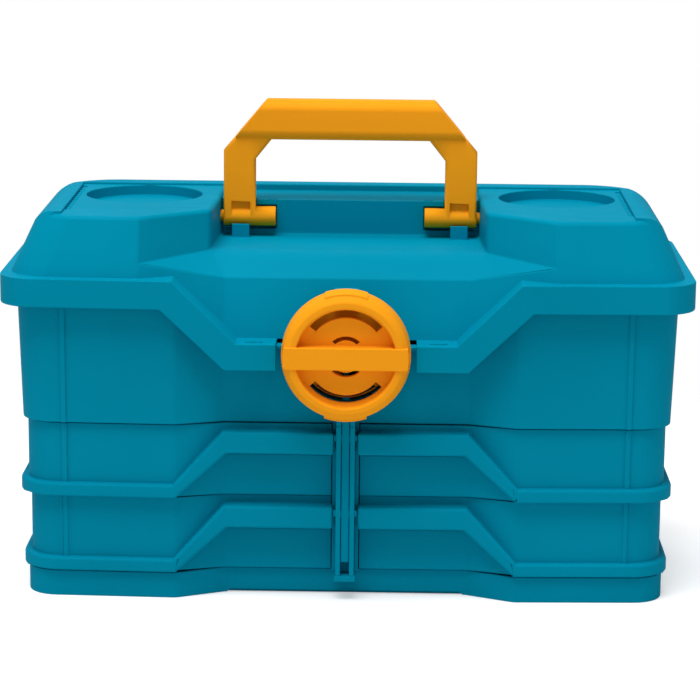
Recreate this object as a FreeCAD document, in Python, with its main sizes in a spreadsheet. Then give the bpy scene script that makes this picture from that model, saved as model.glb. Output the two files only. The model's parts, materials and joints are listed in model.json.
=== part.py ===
import FreeCAD, Part
import math
import os

import Sketcher

# A portable tackle cabinet, in millimetres. +Z is up, the front faces -Y, and the
# origin is the middle of the base's underside. A base and a rear frame carry a deep
# bin on top; two tiers of trays, a left and a right one in each, swing out on upright
# pins; a knob on the bin latches the lid and drives the bar that locks the trays.

DOC = FreeCAD.newDocument("TackleCabinet")
SHEET = DOC.addObject("Spreadsheet::Sheet", "Sizes")

SIZES = {
    # walls and fits
    "wall": 2.5,                  # moulded wall
    "floor_thick": 3.0,           # floors of the base and the bin
    "seat_gap": 0.3,              # between stacked or facing pieces that move apart
    "side_gap": 0.6,              # beside pieces that slide or swing past each other
    "run_gap": 0.05,              # radial, round a turning pin
    "hold_gap": 0.02,             # radial, round a pin that is held
    "bend": 10.0,                 # rounding of the upright bends in the front
    # plan of the case: two lobes in front, with a recess between them
    "flat_half": 79.0,            # half-width of the flat middle of the recess
    "lobe_start": 110.0,          # where the lobe's front begins
    "sweep": 0.037,               # how fast the lobe's front falls back towards the corner
    # base
    "base_half": 208.0,
    "base_front": 82.0,
    "base_centre": 67.0,
    "base_back": 84.0,
    "base_high": 17.5,
    "toe_high": 2.0,              # arch under the front of the base
    "foot_tongue": 7.0,           # half-width of the base's tongue under the post
    "foot_tongue_low": 13.0,
    "base_corner": 20.0,
    # tiers of trays
    "low_inset": 1.7,             # the lower tier's side lies this far inside the base's
    "low_front": 80.5,
    "low_centre": 70.0,
    "low_high": 50.3,
    "up_inset": 0.4,
    "up_front": 82.0,
    "up_centre": 73.0,
    "up_high": 48.7,
    "tier_back": 84.0,
    "tier_corner": 21.0,
    "ridge_out": 4.9,             # ridge stands this far outside the tier's wall
    "ridge_front": 4.5,           # and this far in front of it
    "ridge_high": 9.2,
    "lip_low": 29.9,              # underside of the pull lip, above the tier's foot
    "lip_top": 44.8,
    "lip_out": 11.5,              # lip in front of the recess's wall
    "lip_gap": 1.7,               # between the lip's end and the post
    "lip_half": 78.0,             # where the lip turns down towards the ridge
    "ridge_start": 110.5,         # where the ridge turns up towards the lip
    "tray_back": 74.0,
    "tray_wall": 2.2,
    "tray_floor": 2.2,
    "partition_high": 36.0,
    "divider_a": 72.0,            # dividers in front of the partition
    "divider_b": 130.0,
    "divider_c": 125.0,           # and behind it
    "divider_thick": 1.6,
    "slot_rib": 1.5,
    "slot_deep": 2.4,
    # upright hinge of the trays
    "pivot_inset": 26.3,          # in from the base's side
    "pivot_y": 73.5,              # in front of the middle
    "pivot_pin": 2.5,             # radius
    "pivot_boss": 5.6,
    "spine_gap": 9.2,             # a tray's sweep stops this far from the middle
    "tray_gap": 1.0,              # between one tier and the next
    "end_gap": 0.1,               # above and below a spacer
    "spacer": 5.0,
    "rib_half": 1.7,              # upright rib over the pin
    "rib_out": 1.2,
    # centre post and the rear frame
    "post_half": 6.1,
    "post_flange": 3.2,
    "post_front": 84.0,
    "post_back": 73.0,
    "frame_front": 78.6,          # the rear frame's plate
    "column": 5.0,                # radius of a screw column
    "column_fore": 40.0,
    "column_mid": 20.0,
    "column_side": 50.0,
    "column_rear": 66.0,
    "screw": 1.6,
    "screw_head": 3.4,
    "screw_head_high": 2.0,
    "screw_long": 26.0,
    "screw_sink": 2.4,
    "bin_screw_long": 16.0,
    # bin
    "bin_half": 210.4,
    "bin_front": 84.5,
    "bin_centre": 73.5,
    "bin_back": 85.5,
    "bin_lean": 2.8,              # how far its walls lean out over their height
    "bin_boss_high": 12.0,
    "bin_corner": 22.0,
    # lid rim
    "rim_half": 222.6,
    "rim_front": 97.0,
    "rim_centre": 95.0,
    "rim_back": 97.0,
    "rim_corner": 24.5,
    "rim_low": 194.4,
    "rim_top": 212.7,
    "dip_low": 155.5,
    "dip_top": 172.4,
    "dip_half": 70.3,             # the rim's top edge is low between these
    "rise_half": 110.9,           # and high beyond these
    "rim_end": 44.8,              # the rim stops here on either side of the knob
    # lid body
    "body_half": 216.5,           # at the rim's shelf
    "body_front": 90.0,
    "body_centre": 64.0,
    "body_back": 90.5,
    "body_corner": 30.0,
    "body_rear_corner": 46.0,
    "lean_front": 12.3,           # how far each face leans in over the body's height
    "lean_side": 18.3,
    "lean_back": 18.5,
    "crown": 18.0,                # rounding of the lid's side edges
    "crown_over": 0.05,           # the crown crosses the leaning wall by this, so as not to touch it
    "lid_top": 252.5,
    "pod_top": 250.7,
    "border_half": 183.0,         # inner edge of the raised side border
    "border_front": 70.0,
    "border_back": 58.0,
    # deck between the pods
    "deck_z": 224.5,
    "deck_back": 15.4,
    "deck_front": 46.0,
    "deck_half_back": 86.0,
    "deck_half_front": 89.0,
    "crease_z": 210.0,
    "cheek_x": 133.0,             # where the pod's slanted inner wall meets its front
    "cheek_z": 222.0,
    "cheek_lean": 3.0,
    "plateau_z": 248.2,
    # cup recesses
    "groove_wide": 3.2,           # groove beside the raised border
    "groove_deep": 1.0,
    "groove_reach": 52.0,
    "cup_x": 138.0,
    "cup_y": 19.0,
    "cup": 38.7,
    "cup_deep": 7.0,
    # handle
    "handle_y": 12.0,
    "handle_z": 237.7,
    "handle_half": 84.1,
    "handle_inner": 63.1,
    "handle_top": 316.2,
    "handle_under": 289.8,
    "handle_top_half": 55.4,
    "handle_shoulder": 282.1,
    "handle_under_half": 52.4,
    "handle_armpit": 276.4,
    "handle_thick": 13.0,
    "grip_thick": 19.0,
    "grip_seam": 291.7,
    "grip_round": 7.0,
    "barrel": 6.5,
    "barrel_inner": 49.7,
    "trunnion": 4.0,
    "trunnion_long": 4.2,
    "tab_from": 66.9,
    "tab_to": 78.4,
    "tab_thick": 2.2,
    "tab_top": 233.4,
    "relief_top": 248.5,
    "relief_deep": 3.3,           # in front of the pivot
    "handle_edge": 2.0,
    "bridge_under": 244.8,
    "pocket_back": 22.0,
    "pocket_floor": 228.5,
    "vent_from": 49.6,            # slot in the bridge over each barrel
    "vent_to": 55.6,
    "vent_y": 17.2,
    "vent_wide": 2.6,
    "slot_from": 53.0,            # slots in the rim's shelf
    "slot_to": 64.4,
    "slot_front": 88.2,
    "slot_wide": 2.4,
    # lid hinge
    "hinge_y": 98.0,
    "hinge_z": 197.0,
    "hinge_x": 120.0,
    "hinge_pin": 2.0,
    "knuckle": 4.5,
    "knuckle_mid": 20.0,
    "knuckle_side": 12.0,
    # knob and latch
    "knob_z": 167.0,
    "knob": 43.2,                 # over the pads
    "knob_round": 41.1,
    "knob_brow": 39.7,            # rounded front edge
    "knob_face": 36.3,
    "knob_brow_front": 107.5,
    "knob_side_front": 101.0,
    "knob_pad_half": 13.5,
    "knob_front": 111.0,
    "knob_floor": 103.0,
    "knob_plate": 4.0,
    "knob_rear": 91.5,
    "knob_well": 31.0,
    "skirt": 37.5,                # inner radius of the open skirt
    "bar_half": 7.0,
    "nick": 1.6,                  # finger nicks at the bar's ends
    "bar_front": 112.0,
    "hub_in": 10.3,               # short slots round the hub
    "hub_out": 13.0,
    "hub_angle": 42.0,
    "arc_in": 25.0,
    "arc_out": 30.0,
    "arc_angle": 50.0,
    "window_angle": 40.0,
    "shaft": 8.0,
    "shaft_end": 70.5,
    "tongue_half": 8.0,           # lid's tongue behind the knob
    "tongue_low": 198.0,
    "tongue_thick": 3.0,
    "tongue_front": 96.0,
    "housing": 34.0,              # round housing on the bin, behind the knob
    "housing_wall": 2.0,
    "housing_front": 88.0,
    "housing_back": 73.2,
    "tongue_gap": 1.5,
    "knob_screw_long": 14.0,
    "dish_flare": 1.0,
    "bearing": 10.8,
    "cam": 30.0,
    "cam_front": 87.5,
    "cam_thick": 3.0,
    "cam_from": 14.0,             # radius of the driven pin at rest
    "cam_rise": 8.0,              # and how far a quarter turn moves it
    "drive_pin": 2.0,
    "lock_half": 2.6,
    "lock_front": 82.5,
    "lock_thick": 2.5,
    "lock_foot": 26.0,
    "lug_high": 4.0,
    "keeper_up": 32.5,            # catch's foot above its tier
    "keeper_high": 6.0,
    "keeper_gap": 0.4,            # beside the post
    "keeper_wide": 4.0,
    "washer": 12.5,
    "washer_thick": 1.4,
    "screw_tip_gap": 1.0,         # between the knob screw's tip and the end of its bore
    "slant_shift": 1.0,           # moves the tray ridge's two slanted edges apart
    # blocks that only trim
    "cut_past": 1.0,              # a cut goes this far past the face it starts from
    "trim_past": 10.0,            # a block that is trimmed later stands out by this
    "deck_reach": 15.0,           # the deck's room goes this far in front of the rim
    "far": 300.0,                 # half-size of the largest
}


UPRIGHT_RISE = 1.0     # an edge that climbs more than this is upright
CORNER_SHARE = 0.75    # an outer corner lies beyond this share of the half-width
CHEEK_ACROSS, CHEEK_BACK = 0.65, 0.76     # direction square to the slanted cheeks, in plan
CHEEK_TURN = 0.46      # shift along Y of the corner where a cheek meets the side wall
SLOPE_DROP = 1.3       # drop of the deck's slope for a wall of 1, measured upright
SPIRAL_STEPS = 12      # in a quarter turn
SPIRAL_OVER = 2        # steps beyond each end, for the pin's own width
QUARTER = 90.0         # degrees
HALF_SLANT = 22.5      # half of the rim line's slant, in degrees


# sizes that follow from the driving ones
DERIVED = {
    "low_half": "=base_half - low_inset",
    "up_half": "=base_half - up_inset",
    "pivot_x": "=base_half - pivot_inset",
    "swing": "=pivot_x - spine_gap",
    "lip_end": "=post_half + lip_gap",
    "lug_half": "=lip_end - seat_gap",
    "keeper_x": "=post_half + keeper_gap",
}


def fill_sheet():
    """Write every size into the sheet, each under its own alias."""
    for row, (name, size) in enumerate({**SIZES, **DERIVED}.items(), start=1):
        SHEET.set(f"A{row}", name)
        SHEET.set(f"B{row}", str(size))
        SHEET.setAlias(f"B{row}", name)
        DOC.recompute()


def ex(text):
    """Point every size named in an expression at the sheet."""
    words = []
    word = ""
    for letter in str(text) + " ":
        if letter.isalnum() or letter in "_.":
            word += letter
            continue
        words.append(f"Sizes.{word}" if word in SIZES or word in DERIVED else word)
        words.append(letter)
        word = ""
    return "".join(words).strip()


def value(text):
    """The present value of an expression of sizes."""
    return float(SHEET.evalExpression(ex(text)))


def outline_sketch(body, name, plane_role, points, height="0"):
    """A closed outline of straight edges, every corner tied to the sheet."""
    plane = next(f for f in body.Origin.OriginFeatures if f.Role == plane_role)
    sketch = body.newObject("Sketcher::SketchObject", name)
    sketch.AttachmentSupport = [(plane, "")]
    sketch.MapMode = "FlatFace"
    sketch.setExpression("AttachmentOffset.Base.z", ex(height))
    places = [FreeCAD.Vector(value(x), value(y), 0) for x, y in points]
    count = len(places)
    for index in range(count):
        sketch.addGeometry(Part.LineSegment(places[index], places[(index + 1) % count]), False)
    for index in range(count):
        following = (index + 1) % count
        sketch.addConstraint(Sketcher.Constraint("Coincident", index, 2, following, 1))
    for index, (x, y) in enumerate(points):
        for kind, text, now in (("DistanceX", x, places[index].x), ("DistanceY", y, places[index].y)):
            number = sketch.addConstraint(Sketcher.Constraint(kind, -1, 1, index, 1, now))
            sketch.setExpression(f"Constraints[{number}]", ex(text))
    return sketch


def new_body(name):
    """An empty body of its own."""
    body = DOC.addObject("PartDesign::Body", name)
    DOC.recompute()
    return body


def prism_up(name, points, low, high):
    """Outline in plan, padded from one height to another."""
    body = new_body(name)
    sketch = outline_sketch(body, f"{name}_outline", "XY_Plane", points, low)
    pad = body.newObject("PartDesign::Pad", f"{name}_pad")
    pad.Profile = sketch
    pad.setExpression("Length", ex(f"({high}) - ({low})"))
    DOC.recompute()
    return body


def prism_back(name, points, front, back):
    """Outline seen from the front, padded from one depth to another."""
    body = new_body(name)
    sketch = outline_sketch(body, f"{name}_outline", "XZ_Plane", points, f"-({back})")
    pad = body.newObject("PartDesign::Pad", f"{name}_pad")
    pad.Profile = sketch
    pad.setExpression("Length", ex(f"({back}) - ({front})"))
    DOC.recompute()
    return body


def box(name, x, y, z):
    """A block between two expressions along each axis."""
    block = DOC.addObject("Part::Box", name)
    for axis, side, (low, high) in zip("xyz", ("Length", "Width", "Height"), (x, y, z)):
        block.setExpression(side, ex(f"({high}) - ({low})"))
        block.setExpression(f".Placement.Base.{axis}", ex(low))
    return block


def cylinder(name, radius, axis, start, end, across):
    """A cylinder along one axis, between two expressions, at two places across it."""
    round_bar = DOC.addObject("Part::Cylinder", name)
    round_bar.setExpression("Radius", ex(radius))
    round_bar.setExpression("Height", ex(f"({end}) - ({start})"))
    turn = {"x": (FreeCAD.Vector(0, 1, 0), 90), "y": (FreeCAD.Vector(1, 0, 0), -90),
            "z": (FreeCAD.Vector(0, 0, 1), 0)}[axis]
    round_bar.Placement.Rotation = FreeCAD.Rotation(*turn)
    others = [letter for letter in "xyz" if letter != axis]
    round_bar.setExpression(f".Placement.Base.{axis}", ex(start))
    for letter, text in zip(others, across):
        round_bar.setExpression(f".Placement.Base.{letter}", ex(text))
    return round_bar


def fuse(name, pieces):
    """One solid from several."""
    joined = DOC.addObject("Part::MultiFuse", name)
    joined.Shapes = pieces
    return joined


def common(name, pieces):
    """What several solids share."""
    shared = DOC.addObject("Part::MultiCommon", name)
    shared.Shapes = pieces
    return shared


def cut(name, base, *tools):
    """A solid less one or more others."""
    tool = tools[0] if len(tools) == 1 else fuse(f"{name}_tools", list(tools))
    trimmed = DOC.addObject("Part::Cut", name)
    trimmed.Base = base
    trimmed.Tool = tool
    return trimmed


def mirrored(name, source):
    """The same piece on the other side of the middle."""
    twin = DOC.addObject("Part::Mirroring", name)
    twin.Source = source
    twin.Normal = FreeCAD.Vector(1, 0, 0)
    return twin


def fixed(name, shape):
    """A piece whose shape is worked out in this file."""
    piece = DOC.addObject("Part::Feature", name)
    piece.Shape = shape
    return piece


# ---------------------------------------------------------------- case outlines


def plan(half, front, centre, back, lobe="lobe_start", grow="0"):
    """Plan of the case: eight corners, moved out by grow (in, if it is negative)."""
    out = f"(({half}) + ({grow}))"
    fore = f"(-({front}) - ({grow}))"
    middle = f"(-({centre}) - ({grow}))"
    rear = f"(({back}) + ({grow}))"
    right = [("flat_half", middle), (lobe, fore), (out, f"({fore} + sweep * ({out} - {lobe}))"), (out, rear)]
    left = [(f"-({x})", y) for x, y in reversed(right)]
    return right + left


def upright_edges(shape):
    """Numbers of a case's upright edges: front corners, rear corners, and bends in front."""
    groups = ([], [], [])
    for number, edge in enumerate(shape.Edges, start=1):
        ends = [vertex.Point for vertex in edge.Vertexes]
        if len(ends) == 2 and abs(ends[0].z - ends[1].z) > UPRIGHT_RISE:
            at_corner = min(abs(end.x) for end in ends) > CORNER_SHARE * shape.BoundBox.XMax
            rear = ends[0].y > 0
            if at_corner or not rear:
                groups[int(rear) if at_corner else 2].append(number)
    return groups


def round_edges(body, name, numbers, radius):
    """Round some edges of a body's last feature."""
    base = body.Tip
    rounding = body.newObject("PartDesign::Fillet", name)
    rounding.Base = (base, [f"Edge{number}" for number in numbers])
    rounding.setExpression("Radius", ex(radius))
    DOC.recompute()
    return rounding


def upright_case(name, points, low, high, corner, bend="bend"):
    """A case block with upright walls, its corners rounded, and its bends if they are given."""
    body = prism_up(name, points, low, high)
    front, rear, _ = upright_edges(body.Shape)
    round_edges(body, f"{name}_corners", front + rear, corner)
    if bend:
        round_edges(body, f"{name}_bends", upright_edges(body.Shape)[2], bend)
    return body


def leaning_case(name, low_plan, low_z, high_plan, high_z, corner, rear_corner=None):
    """A case block whose walls lean: flat faces between two plans, corners and bends rounded."""
    low = [FreeCAD.Vector(value(x), value(y), value(low_z)) for x, y in low_plan]
    high = [FreeCAD.Vector(value(x), value(y), value(high_z)) for x, y in high_plan]
    count = len(low)
    faces = [list(reversed(range(count))), list(range(count, 2 * count))]
    faces += [[i, (i + 1) % count, count + (i + 1) % count, count + i] for i in range(count)]
    block = closed_solid(low + high, faces)
    for group, radius in ((0, corner), (1, rear_corner or corner), (2, "bend")):
        edges = [block.Edges[number - 1] for number in upright_edges(block)[group]]
        block = block.makeFillet(value(radius), edges)
    return fixed(name, block)


def closed_solid(points, faces):
    """A solid of flat faces, each a list of numbers of its corner points."""
    walls = [Part.Face(Part.makePolygon([points[i] for i in face] + [points[face[0]]])) for face in faces]
    solid = Part.Solid(Part.Shell(walls))
    if solid.Volume < 0:
        solid.reverse()
    return solid


# ---------------------------------------------------------------- heights shared by the pieces

LOW_FOOT = "base_high"
UP_FOOT = "base_high + low_high"
BIN_FOOT = "base_high + low_high + up_high"
FRAME_FOOT = "base_high - tray_gap / 2"
FRAME_HEAD = f"{BIN_FOOT} + tray_gap / 2"
KNOB_BACK = "-knob_floor + knob_plate"
COLUMNS = [("0", "-column_fore"), ("0", "column_mid"),
           ("column_side", "column_rear"), ("-column_side", "column_rear")]
DIVIDERS = [("divider_a", "front"), ("divider_b", "front"), ("divider_c", "rear")]
SIDES = {"right": "", "left": "-"}


def both_sides(name, make):
    """Two copies of a piece, made for the right (+1) and the left (-1)."""
    return [make(f"{name}_{side}", sign) for side, sign in SIDES.items()]


def side_box(name, sign, x, y, z):
    """A block whose span across is given for the right side."""
    inner, outer = x
    across = (f"-({outer})", f"-({inner})") if sign else (inner, outer)
    return box(name, across, y, z)


def bolts(name, places, head_low, shank_low, shank_high):
    """A group of screws, each a round head on a shank."""
    screws = []
    for number, (x, y) in enumerate(places, start=1):
        head = cylinder(f"{name}_head_{number}", "screw_head", "z", head_low,
                        f"{head_low} + screw_head_high", (x, y))
        shank = cylinder(f"{name}_shank_{number}", "screw", "z", shank_low, shank_high, (x, y))
        screws.append(fuse(f"{name}_{number}", [head, shank]))
    return group(name, screws)


def group(name, pieces):
    """Separate solids that share one file."""
    together = DOC.addObject("Part::Compound", name)
    together.Links = pieces
    return together


# ---------------------------------------------------------------- base and frame


def base_tray():
    """Shallow pan that everything stands on."""
    outline = ("base_half", "base_front", "base_centre", "base_back")
    case = upright_case("base_case", plan(*outline), "0", FRAME_FOOT, "base_corner")
    hollow = upright_case("base_hollow", plan(*outline, grow="-wall"), "floor_thick", "far",
                          "base_corner - wall")
    pan = cut("base_pan", case, hollow)
    pivots = both_sides("base_boss", lambda name, sign: cylinder(
        name, "pivot_boss", "z", "0", FRAME_FOOT, (f"{sign}pivot_x", "-pivot_y")))
    sockets = both_sides("base_socket", lambda name, sign: cylinder(
        name, "pivot_pin + hold_gap", "z", "floor_thick", "far", (f"{sign}pivot_x", "-pivot_y")))
    columns = [cylinder(f"base_column_{n}", "column", "z", "0", FRAME_FOOT, place)
               for n, place in enumerate(COLUMNS)]
    bores = [cylinder(f"base_bore_{n}", "screw + hold_gap", "z", "-cut_past", "far", place)
             for n, place in enumerate(COLUMNS)]
    sinks = [cylinder(f"base_sink_{n}", "screw_head + seat_gap", "z", "-cut_past", "screw_sink", place)
             for n, place in enumerate(COLUMNS)]
    tongue = box("base_tongue", ("-foot_tongue", "foot_tongue"),
                 ("-post_front", "-base_centre + wall"), ("foot_tongue_low", FRAME_FOOT))
    toe = prism_back("base_toe", [("-flat_half", "-cut_past"), ("flat_half", "-cut_past"),
                                  ("flat_half - 2 * toe_high", "toe_high"),
                                  ("-flat_half + 2 * toe_high", "toe_high")],
                     "-far", "-base_centre + wall")
    body = fuse("base_body", [pan, tongue] + pivots + columns)
    return cut("base_tray", body, toe, *sockets, *bores, *sinks)


def tier_plan(tier, grow="0"):
    """Plan of a tier's wall."""
    return plan(f"{tier}_half", f"{tier}_front", f"{tier}_centre", "tier_back", grow=grow)


def ridge_plan(tier):
    """Plan of the ridge round a tier's foot, and of the pull lip that it rises to."""
    return plan(f"{tier}_half + ridge_out", f"{tier}_front + ridge_front",
                f"{tier}_centre + lip_out", "tier_back + ridge_front")


def rear_frame():
    """Rear wall, the two curved walls between the trays, tied to it, and the screw columns."""
    pieces = []
    hollows = []
    for tier, foot, head in (("low", FRAME_FOOT, UP_FOOT), ("up", UP_FOOT, FRAME_HEAD)):
        pieces.append(upright_case(f"frame_{tier}", tier_plan(tier), foot, head, "tier_corner"))
        start = LOW_FOOT if tier == "low" else UP_FOOT
        pieces.append(upright_case(f"frame_ridge_{tier}", ridge_plan(tier), start,
                                   f"{start} + ridge_high", "tier_corner + ridge_out"))
        hollows.append(upright_case(f"frame_hollow_{tier}", tier_plan(tier, "-wall"),
                                    f"{foot} - cut_past", f"{head} + cut_past", "tier_corner - wall"))
    shell = cut("frame_shell", fuse("frame_solid", pieces), *hollows)
    rear = box("frame_rear", ("-far", "far"), ("frame_front", "far"), ("0", "far"))
    wall = common("frame_wall", [shell, rear])
    reach = "swing + side_gap"
    arcs = []
    for side, sign in SIDES.items():
        centre = (f"{sign}pivot_x", "-pivot_y")
        ring = cut(f"spine_ring_{side}",
                   cylinder(f"spine_out_{side}", f"{reach} + wall", "z", FRAME_FOOT, FRAME_HEAD, centre),
                   cylinder(f"spine_in_{side}", reach, "z", "0", "far", centre))
        keep = side_box(f"spine_keep_{side}", sign, ("0", "pivot_x"),
                        ("-post_back", "tier_back - wall / 2"), ("0", "far"))
        arcs.append(common(f"spine_arc_{side}", [ring, keep]))
    web = box("spine_web", ("-wall / 2", "wall / 2"), ("-post_back", "tier_back - wall / 2"),
              (FRAME_FOOT, FRAME_HEAD))
    ties = both_sides("spine_tie", lambda name, sign: side_box(
        name, sign, ("pivot_x - wall / 2", "pivot_x + wall / 2"),
        (f"min({reach} - pivot_y; tier_back - wall)", "tier_back - wall / 2"), (FRAME_FOOT, FRAME_HEAD)))
    stays = both_sides("spine_stay", lambda name, sign: side_box(
        name, sign, ("column_side - wall / 2", "column_side + wall / 2"),
        ("column_rear", "tier_back - wall / 2"), (FRAME_FOOT, FRAME_HEAD)))
    columns = [cylinder(f"frame_column_{n}", "column", "z", FRAME_FOOT, FRAME_HEAD, place)
               for n, place in enumerate(COLUMNS)]
    bores = [cylinder(f"frame_bore_{n}", "screw + hold_gap", "z", "0", "far", place)
             for n, place in enumerate(COLUMNS)]
    return cut("rear_frame", fuse("frame_body", [wall, web] + arcs + ties + stays + columns), *bores)


def lug_heights():
    """Underside of the lock bar's lugs at rest, one for each tier."""
    return [f"{foot} + keeper_up + keeper_high + side_gap" for foot in (LOW_FOOT, UP_FOOT)]


def centre_post():
    """Channel at the front, between the left and the right trays."""
    block = box("post_block", ("-post_half", "post_half"), ("-post_front", "-post_back"),
                (FRAME_FOOT, FRAME_HEAD))
    channel = box("post_channel", ("-post_half + post_flange", "post_half - post_flange"),
                  ("-far", "-post_back - wall"), ("0", "far"))
    windows = [box(f"post_window_{n}", ("-post_half - cut_past", "post_half + cut_past"),
                   ("-lock_front - seat_gap", "-lock_front + lock_thick + seat_gap"),
                   (f"{low} - cam_rise - side_gap", f"{low} + lug_high + side_gap"))
               for n, low in enumerate(lug_heights())]
    return cut("centre_post", block, channel, *windows)


# ---------------------------------------------------------------- trays


def tier_band(tier, foot):
    """Everything in front of the wall: the ridge, the slants and the lip, as seen from the front."""
    right = [("lip_half - slant_shift", f"{foot} + lip_low"),
             ("ridge_start - slant_shift", f"{foot} + tray_gap / 2"),
             ("far", f"{foot} + tray_gap / 2"), ("far", f"{foot} + ridge_high"),
             ("ridge_start + slant_shift", f"{foot} + ridge_high"),
             ("lip_half + slant_shift", f"{foot} + lip_top")]
    left = [(f"-({x})", z) for x, z in reversed(right)]
    return prism_back(f"{tier}_band", right + left, "-far", "far")


def tray(tier, foot, head):
    """Right-hand tray of a tier: a swinging shell with its hinge boss, pull and partition."""
    low = f"{foot} + tray_gap / 2"
    high = f"{head} - tray_gap / 2"
    wall = upright_case(f"{tier}_wall", tier_plan(tier), low, high, "tier_corner")
    ridge = upright_case(f"{tier}_ridge", ridge_plan(tier), low, high, "tier_corner + ridge_out")
    proud = upright_case(f"{tier}_proud", tier_plan(tier, "rib_out"), low, high,
                         "tier_corner + rib_out")
    rib_span = box(f"{tier}_rib_span", ("pivot_x - rib_half", "pivot_x + rib_half"),
                   ("-far", "-pivot_y"), (low, high))
    outside = fuse(f"{tier}_outside", [wall, common(f"{tier}_pull", [ridge, tier_band(tier, foot)]),
                                       common(f"{tier}_rib", [proud, rib_span])])
    pivot = ("pivot_x", "-pivot_y")
    reach = fuse(f"{tier}_swept", [
        cylinder(f"{tier}_reach", "swing", "z", "0", "far", pivot),
        box(f"{tier}_lip_span", ("lip_end", "pivot_x"), ("-far", "-pivot_y"), ("0", "far"))])
    clip = box(f"{tier}_clip", ("0", "far"), ("-far", "tray_back"), ("0", "far"))
    block = common(f"{tier}_block", [outside, reach, clip])
    hollow = common(f"{tier}_hollow", [
        upright_case(f"{tier}_inside", tier_plan(tier, "-tray_wall"), f"{low} + tray_floor", "far",
                     "tier_corner - tray_wall"),
        cylinder(f"{tier}_reach_inside", "swing - tray_wall", "z", "0", "far", pivot),
        box(f"{tier}_clip_inside", ("0", "far"), ("-far", "tray_back - tray_wall"), ("0", "far"))])
    boss = cylinder(f"{tier}_boss", "pivot_boss", "z", low, high, pivot)
    partition = common(f"{tier}_partition", [block, box(
        f"{tier}_partition_span", ("0", "far"), ("-divider_thick / 2", "divider_thick / 2"),
        (low, f"{low} + partition_high"))])
    ribs = [slot_ribs(tier, n, x, row, low) for n, (x, row) in enumerate(DIVIDERS)]
    bore = cylinder(f"{tier}_bore", "pivot_pin + run_gap", "z", "0", "far", pivot)
    pocket = box(f"{tier}_pocket", ("keeper_x + keeper_wide + wall", "lip_half - 2 * wall"),
                 (f"-{tier}_centre - lip_out + wall", f"-{tier}_centre"),
                 (foot, f"{foot} + lip_top - wall"))
    shell = cut(f"{tier}_shell", block, hollow)
    body = fuse(f"{tier}_body", [shell, boss, partition] + ribs)
    return cut(f"{tier}_tray_right", body, bore, pocket, catch(f"{tier}_catch_seat", foot))


def catch(name, foot):
    """Block in the right-hand tray's inner end, which the lock bar's lug comes in front of."""
    return box(name, ("keeper_x", "keeper_x + keeper_wide"),
               ("-lock_front + lock_thick + side_gap", "-post_back - side_gap"),
               (f"{foot} + keeper_up", f"{foot} + keeper_up + keeper_high"))


def row_span(row, near, far_edge):
    """Span in depth of something in the front or the rear row, measured from the partition."""
    return (f"-({far_edge})", f"-({near})") if row == "front" else (near, far_edge)


def slot_ribs(tier, number, x, row, low):
    """Pair of small ribs on the partition that hold a divider's edge."""
    pair = []
    for word, sign in (("a", "-"), ("b", "+")):
        middle = f"{x} {sign} (divider_thick / 2 + seat_gap + slot_rib / 2)"
        pair.append(box(f"{tier}_slot_{number}_{word}",
                        (f"{middle} - slot_rib / 2", f"{middle} + slot_rib / 2"),
                        row_span(row, "divider_thick / 2 - seat_gap", "divider_thick / 2 + slot_deep"),
                        (f"{low} + tray_floor - seat_gap", f"{low} + partition_high")))
    return fuse(f"{tier}_slots_{number}", pair)


def dividers(tier, foot):
    """The loose dividers of a right-hand tray."""
    floor = f"{foot} + tray_gap / 2 + tray_floor"
    room = common(f"{tier}_room", [
        upright_case(f"{tier}_room_case", tier_plan(tier, "-tray_wall - seat_gap"), floor, "far",
                     "tier_corner - tray_wall - seat_gap"),
        box(f"{tier}_room_box", ("0", "far"), ("-far", "tray_back - tray_wall - seat_gap"),
            ("0", "far"))])
    plates = []
    for number, (x, row) in enumerate(DIVIDERS):
        span = box(f"{tier}_plate_span_{number}", (f"{x} - divider_thick / 2", f"{x} + divider_thick / 2"),
                   row_span(row, "divider_thick / 2 + seat_gap", "far"),
                   (floor, f"{floor} + partition_high - wall"))
        plates.append(common(f"{tier}_plate_{number}", [span, room]))
    return group(f"{tier}_dividers_right", plates)


def pivot_pins():
    """Steel pins, from the base up into the bin's floor."""
    return both_sides("tray_pivot_pin", lambda name, sign: cylinder(
        name, "pivot_pin", "z", "floor_thick + seat_gap", f"{FRAME_HEAD} + bin_boss_high - wall",
        (f"{sign}pivot_x", "-pivot_y")))


def spacers(name, sign):
    """Washers on a pivot pin, under, between and over the trays."""
    washers = []
    for number, foot in enumerate((LOW_FOOT, UP_FOOT, BIN_FOOT)):
        low = f"{foot} - tray_gap / 2 + end_gap"
        high = f"{foot} + tray_gap / 2 - end_gap"
        centre = (f"{sign}pivot_x", "-pivot_y")
        disc = cylinder(f"{name}_disc_{number}", "spacer", "z", low, high, centre)
        hole = cylinder(f"{name}_hole_{number}", "pivot_pin + run_gap", "z", "0", "far", centre)
        washers.append(cut(f"{name}_{number}", disc, hole))
    return group(name, washers)


# ---------------------------------------------------------------- the line where lid and bin meet


def line_points(rise, dip, spread):
    """The rim line seen from the front: how far below the rim's top edge it runs, high and low."""
    half = [(f"dip_half + {spread}", f"dip_top - ({dip})"),
            (f"rise_half + {spread}", f"rim_top - ({rise})"), ("far", f"rim_top - ({rise})")]
    return half


def under_line(name, rise, dip, spread):
    """Everything below the rim line: it dips in front, and is level behind."""
    right = line_points(rise, dip, spread) + [("far", "0")]
    left = [(f"-({x})", z) for x, z in reversed(right)]
    front = prism_back(f"{name}_front", right + left, "-far", "0")
    back = box(f"{name}_back", ("-far", "far"), ("0", "far"), ("0", f"rim_top - ({rise})"))
    return fuse(name, [front, back])


def under_by(name, depth):
    """Everything more than one depth below the rim line, square to it."""
    return under_line(name, depth, depth, f"({depth}) * tan({HALF_SLANT})")


# ---------------------------------------------------------------- bin


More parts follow.
